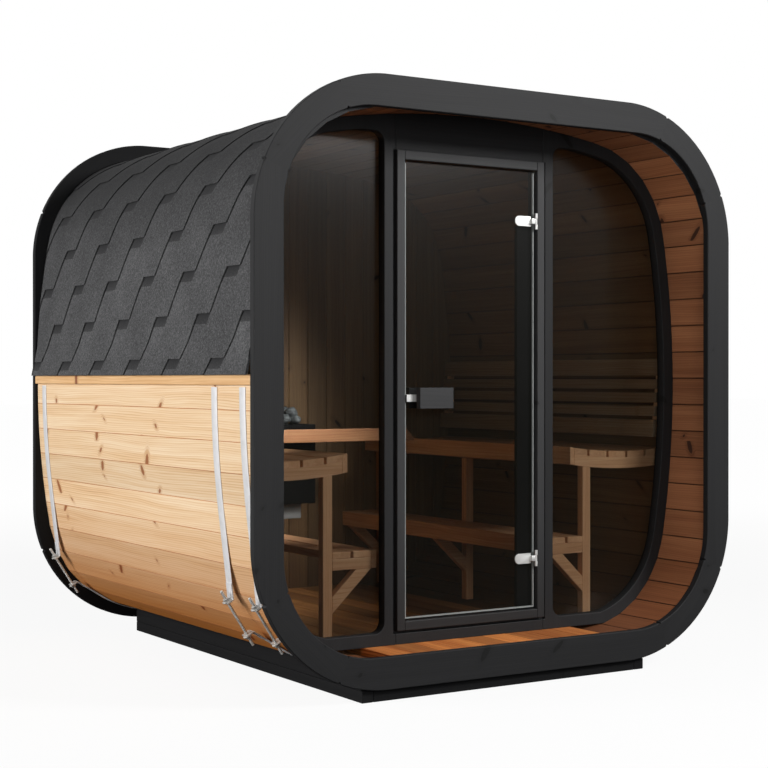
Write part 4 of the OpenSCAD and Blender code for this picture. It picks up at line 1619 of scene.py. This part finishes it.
@dataclass
class FrontWall:
    """The charcoal front with its two rounded windows."""

    finishes: Finishes
    seed: int = 60
    rows: tuple[tuple[str, Axis, str], ...] = (
        ("front_wall_left", Axis.Z, "charcoal_stain"), ("front_wall_right", Axis.Z, "charcoal_stain"),
        ("front_wall_header", Axis.X, "charcoal_stain"), ("front_wall_sill", Axis.X, "charcoal_stain"),
        ("door_jambs", Axis.Z, "frame_stain"), ("door_head", Axis.X, "frame_stain"),
        # the hinge stop's near-black is painted shade in the door's reveal
        ("door_threshold", Axis.X, "frame_stain"), ("hinge_stop", Axis.Z, "base_black_and_shade"),
    )

    def build(self) -> None:
        """Eases the panels and the door's frame, and glazes the windows."""
        for node, axis, finish in self.rows:
            seed = self.seed + len(node)
            Dress(node, axis, finish, Slot.BLACK, seed, ease=0.0025).build(self.finishes)
        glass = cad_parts["window_glass"]
        glass.data.materials.clear()
        glass.data.materials.append(self.finishes["bronze_glass"])


@dataclass
class Door:
    """The frameless glass door with its block handle, latch and hinges."""

    finishes: Finishes
    arris: float = 0.006
    bevel: float = 0.001

    def pane(self) -> None:
        """The pane: a plain sheet whose rim is a polished arris, drawn as nested rectangles front and back.

        The arris takes the edge's finish, a painted highlight, but for its top, left plain as painted shade.
        """
        low, high = (np.array(corner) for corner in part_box("door_glass"))
        middle, half = (low + high) / 2, (high - low) / 2
        surface = Surface(seed=71)
        insets = np.array([self.bevel, 0.0, 0.0, self.bevel])
        insets = np.concatenate([[self.arris], insets, [self.arris]])
        depth = np.array([low[1], low[1], low[1] + self.bevel, high[1] - self.bevel, high[1], high[1]])
        corner = np.array([[-1, -1], [1, -1], [1, 1], [-1, 1]])
        size = half[[0, 2]] - insets[:, None]
        flat = middle[[0, 2]] + corner[None] * size[:, None, :]
        grid = np.stack([flat[..., 0], np.broadcast_to(depth[:, None], flat.shape[:2]), flat[..., 1]], -1)
        # The top side keeps the plain glass: painted shade under the door's head.
        top = 2
        surface.shell(grid, marks=(np.arange(len(corner)) != top).astype(int))
        finish = [self.finishes["bronze_glass"], self.finishes["glass_edge_highlight"]]
        place(surface.build("door_pane", finish), "door_glass", "door")

    def build(self) -> None:
        """Makes the pane and eases its fittings."""
        self.pane()
        steel, turns = {"finish": "polished_steel", "slot": Slot.STEEL, "smooth": 30}, {"body": "door"}
        for row in (
            Dress("door_hinge_plates", Axis.X, seed=72, ease=0.0009, **steel, **turns),
            Dress("door_latch", Axis.X, seed=73, ease=0.001, **steel, **turns),
            Dress("door_handle", Axis.X, "frame_stain", Slot.BLACK, seed=74, ease=0.003, **turns),
            Dress("hinge_knuckles", Axis.Z, seed=75, ease=0.0006, **steel),
        ):
            row.build(self.finishes)


@dataclass
class Room:
    """The floor boards, the back wall and the joists."""

    finishes: Finishes
    floor_pitch: float = 0.096
    floor_gap: float = 0.0006
    floor_ease: float = 0.0022
    floor_clear: float = 0.001
    wall_pitch: float = 0.1
    wall_gap: float = 0.0003
    wall_joint: float = 0.0035
    wall_clear: float = 0.0005
    wall_points: int = 9

    def floor(self) -> None:
        """Boards along the room; each side edge stops where the staves are."""
        low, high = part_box("floor_boards")
        surface = Surface(seed=81)
        reach = float(OUTLINE.half_width(np.array([low.z]), STAVE_T)[0]) - self.floor_clear
        edges = np.linspace(-reach, reach, int(2 * reach / self.floor_pitch) + 1)
        for left, right in zip(edges[:-1] + self.floor_gap, edges[1:] - self.floor_gap):
            surface.board(Axis.Y, (left, low.y, low.z), (right, high.y, high.z), self.floor_ease)
        place(surface.build("floor_planks", [self.finishes["floor_spruce"]]), "floor_boards")

    def back_wall(self) -> None:
        """Upright boards with V joints; each runs from the lower to the upper staves at its place."""
        low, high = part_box("back_wall")
        surface = Surface(seed=82)
        reach = high.x - self.wall_clear
        edges = np.linspace(-reach, reach, round(2 * reach / self.wall_pitch) + 1)
        joint, gap = self.wall_joint, self.wall_gap
        t = np.linspace(-1, 1, self.wall_points)[:, None]
        for left, right in zip(edges[:-1], edges[1:]):
            x = np.array([left + gap, left + joint, (left + right) / 2, right - joint, right - gap])
            x = np.concatenate([x, x[::-1]])
            y = np.array([low.y + joint] + [low.y] * 3 + [low.y + joint])
            y = np.concatenate([y, (high.y - (y - low.y))[::-1]])
            tall = OUTLINE.half_height(x, STAVE_T) - self.wall_clear
            grid = np.stack([x + 0 * t, y + 0 * t, OUTLINE.mid + tall * t], -1)
            surface.shell(grid, grid[..., [2, 0, 1]])
        place(surface.build("back_wall_boards", [self.finishes["room_spruce"]]), "back_wall")

    def build(self) -> None:
        """Makes the floor and the back wall and dresses the joists."""
        self.floor()
        self.back_wall()
        Dress("floor_joists", Axis.X, "room_spruce", Slot.ROOM, seed=83).build(self.finishes)


@dataclass
class Benches:
    """The upper and lower benches, their legs and braces, the backrests and the heater's guard."""

    finishes: Finishes
    seed: int = 90
    rows: tuple[tuple[str, Axis, str], ...] = (
        ("bench_slats", Axis.Y, "bench_alder"), ("bench_fronts", Axis.Y, "bench_alder"),
        ("bench_bearers", Axis.X, "bench_alder"), ("bench_legs", Axis.Z, "bench_alder"),
        ("step_slats", Axis.Y, "bench_alder"), ("step_fronts", Axis.Y, "bench_alder"),
        ("step_bearers", Axis.X, "bench_alder"), ("step_braces", Axis.X, "bench_alder"),
        ("backrest_slats", Axis.Y, "backrest_alder_shade"), ("backrest_wedges", Axis.Z, "bench_alder"),
        ("heater_guard", Axis.X, "guard_alder_shade"),
    )

    def build(self) -> None:
        """Eases every bench timber, with its grain along its length."""
        for node, axis, finish in self.rows:
            seed = self.seed + len(node)
            Dress(node, axis, finish, Slot.BENCH, seed, ease=0.0025).build(self.finishes)


@dataclass
class Heater:
    """The black heater with its bed of stones."""

    finishes: Finishes
    stones: int = 64
    depth: float = 0.11
    largest: float = 0.036
    smallest: float = 0.024
    ripple: float = 0.07
    squareness: float = 0.85
    waviness: float = 2.2
    waves: int = 4
    latest: float = 6  # the largest phase, in radians
    breadth: tuple[float, float] = (0.7, 1)
    height: tuple[float, float] = (0.55, 0.8)
    rings: int = 9
    sides: int = 14
    pole: float = 0.02

    def bed(self) -> None:
        """Stones: balls whose radius is rippled by a few random waves, flattened, turned and laid in a bed.

        A ball's point is (sin tilt cos turn, sin tilt sin turn, cos tilt), and its ripple is a sum of
        cosines of that point times a random wave, each with a phase of its own.
        """
        low, high = (np.array(corner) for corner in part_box("heater_stones"))
        low[2] = high[2] - self.depth
        surface = Surface(seed=101)
        chance = surface.chance
        tilt = np.linspace(self.pole, np.pi - self.pole, self.rings)
        turn = np.linspace(0, 2 * np.pi, self.sides, endpoint=False)
        tilt, turn = np.meshgrid(tilt, turn, indexing="ij")
        ball = np.stack([np.sin(tilt) * np.cos(turn), np.sin(tilt) * np.sin(turn), np.cos(tilt)], -1)
        for _ in range(self.stones):
            waves = chance.normal(0, self.waviness, (self.waves, 3))
            phases = chance.uniform(0, self.latest, self.waves)
            ripple = np.cos(ball @ waves.T + phases).sum(-1) * self.ripple
            length = chance.uniform(self.smallest, self.largest)
            size = length * np.array([1, chance.uniform(*self.breadth), chance.uniform(*self.height)])
            rock = ball * (1 + ripple[..., None])
            rock = np.sign(rock) * np.abs(rock) ** self.squareness * size
            rock = rock @ np.linalg.qr(chance.normal(0, 1, (3, 3)))[0]
            room = np.abs(rock).reshape(-1, 3).max(0)
            surface.shell(rock + chance.uniform(low + room, high - room))
        rocks = surface.build("heater_rocks", [self.finishes["heater_rock"]], smooth=50)
        place(rocks, "heater_stones")

    def build(self) -> None:
        """Fills the heater and eases its casing."""
        self.bed()
        for row in (
            Dress("heater_casing", Axis.X, "heater_black", Slot.DARK, seed=102),
            Dress("heater_terminal_box", Axis.X, "heater_grey", Slot.GREY, seed=103),
            Dress("heater_brackets", Axis.Z, "heater_black", Slot.DARK, seed=104, ease=0.0015),
        ):
            row.build(self.finishes)


# ---------------------------------------------------------------- the stage


@dataclass(frozen=True)
class Lamp:
    """A soft square lamp turned to a point."""

    name: str
    spot: Point
    aim: Point
    size: float
    power: float
    spread: float = 180

    def build(self) -> None:
        """Hangs the lamp; its own -Z axis points along the way to its aim."""
        data = bpy.data.lights.new(self.name, "AREA")
        data.shape = "SQUARE"
        data.size = self.size
        data.energy = self.power
        data.spread = math.radians(self.spread)
        lamp = bpy.data.objects.new(self.name, data)
        way = np.array(self.aim) - np.array(self.spot)
        lamp.location = self.spot
        tilt, turn = math.atan2(math.hypot(way[0], way[1]), -way[2]), math.atan2(-way[0], way[1])
        lamp.rotation_euler = (tilt, 0, turn)
        bpy.context.scene.collection.objects.link(lamp)


@dataclass
class Studio:
    """The camera, a pale floor and soft lights."""

    spot: Point = (-3.4175, -5.5682, 1.0812)
    yaw: float = 32.22
    pitch: float = -0.187
    lens: float = 75.82
    sensor: float = 36
    furthest: float = 200
    floor_half: float = 60.0
    floor_z: float = -0.0005
    floor_grey: Colour = srgb(80, 80, 80)
    floor_rough: float = 0.9
    glow_from_to: tuple[float, float] = (2.6, 9.0)
    glow: tuple[float, float] = (0.915, 0.985)
    unseen: float = 0.04
    horizon: tuple[float, float] = (-0.06, 0.3)
    mirrored: float = 0.8
    lamps: tuple[Lamp, ...] = (
        Lamp("key", (-8.7, 1.6, 2.5), (0, 0, 1.1), 3.0, 550),
        Lamp("front", (2.5, -5.0, 3.7), (0, 0, 1.1), 1.6, 290),
        Lamp("fill", (-1.4, -6.0, 1.7), (0, -0.7, 1.2), 2.0, 65),
        Lamp("side", (-6.5, -2.4, 1.2), (0, -0.2, 0.7), 2.0, 100),
        Lamp("room", (0.25, -0.5, 1.5), (-0.45, 0.42, 0.84), 0.3, 10, 75),
    )

    def camera(self) -> None:
        """Sets the view."""
        data = bpy.data.cameras.new("view")
        data.lens = self.lens
        data.sensor_width = self.sensor
        data.clip_end = self.furthest
        camera = bpy.data.objects.new("view", data)
        camera.location = self.spot
        camera.rotation_euler = (math.radians(90 + self.pitch), 0, math.radians(-self.yaw))
        bpy.context.scene.collection.objects.link(camera)
        bpy.context.scene.camera = camera

    def floor(self) -> None:
        """A wide flat floor that looks white, more so further off, and keeps a soft shadow."""
        r = Recipe("studio_floor")
        away = r.span(r.vector("LENGTH", r.coordinates()), *self.glow_from_to, *self.glow)
        glow = r.times(r.rays()[0], away)
        r.set(Base_Color=self.floor_grey, Roughness=self.floor_rough, Specular_IOR_Level=0.0)
        r.set(Emission_Color=(1.0, 1.0, 1.0), Emission_Strength=glow)
        mesh = bpy.data.meshes.new("floor")
        s, z = self.floor_half, self.floor_z
        mesh.from_pydata([(-s, -s, z), (s, -s, z), (s, s, z), (-s, s, z)], [], [(0, 1, 2, 3)])
        mesh.materials.append(r.material)
        floor = bpy.data.objects.new("studio_floor", mesh)
        bpy.context.scene.collection.objects.link(floor)

    def world(self) -> None:
        """An even pale surround: white where it is seen, and a soft glow above the horizon for gloss."""
        world = bpy.data.worlds.new("surround")
        world.use_nodes = True
        n = Nodes(world.node_tree)
        back = n.tree.nodes["Background"]
        seen, glossy = n.rays()
        level = n.span(seen, 0.0, 1.0, self.unseen, 1.0, "LINEAR")
        rise = n.span(n.split(n.coordinates("Generated"))[2], *self.horizon, 0.0, self.mirrored)
        n.fill(back.inputs["Strength"], n.calc("MULTIPLY_ADD", rise, glossy, level))
        n.fill(back.inputs["Color"], (1.0, 1.0, 1.0))
        bpy.context.scene.world = world

    def build(self) -> None:
        """Sets the whole stage."""
        self.camera()
        self.floor()
        self.world()
        for lamp in self.lamps:
            lamp.build()
        bpy.context.scene.view_settings.view_transform = "Standard"


def main() -> None:
    """Builds the sauna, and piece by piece."""
    logging.basicConfig(level=logging.INFO, format="%(name)s: %(message)s")
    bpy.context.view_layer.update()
    finishes = Finishes()
    Studio().build()
    Staves(finishes).build()
    Ring(finishes, "front", "charcoal_stain").build()
    # The back ring is the same trim as the front one; its near-black finish is painted shade.
    Ring(finishes, "back", "base_black_and_shade").build()
    for part in (Roof, Hoops, Base, FrontWall, Door, Room, Benches, Heater):
        part(finishes).build()


if __name__ == "__main__":
    main()
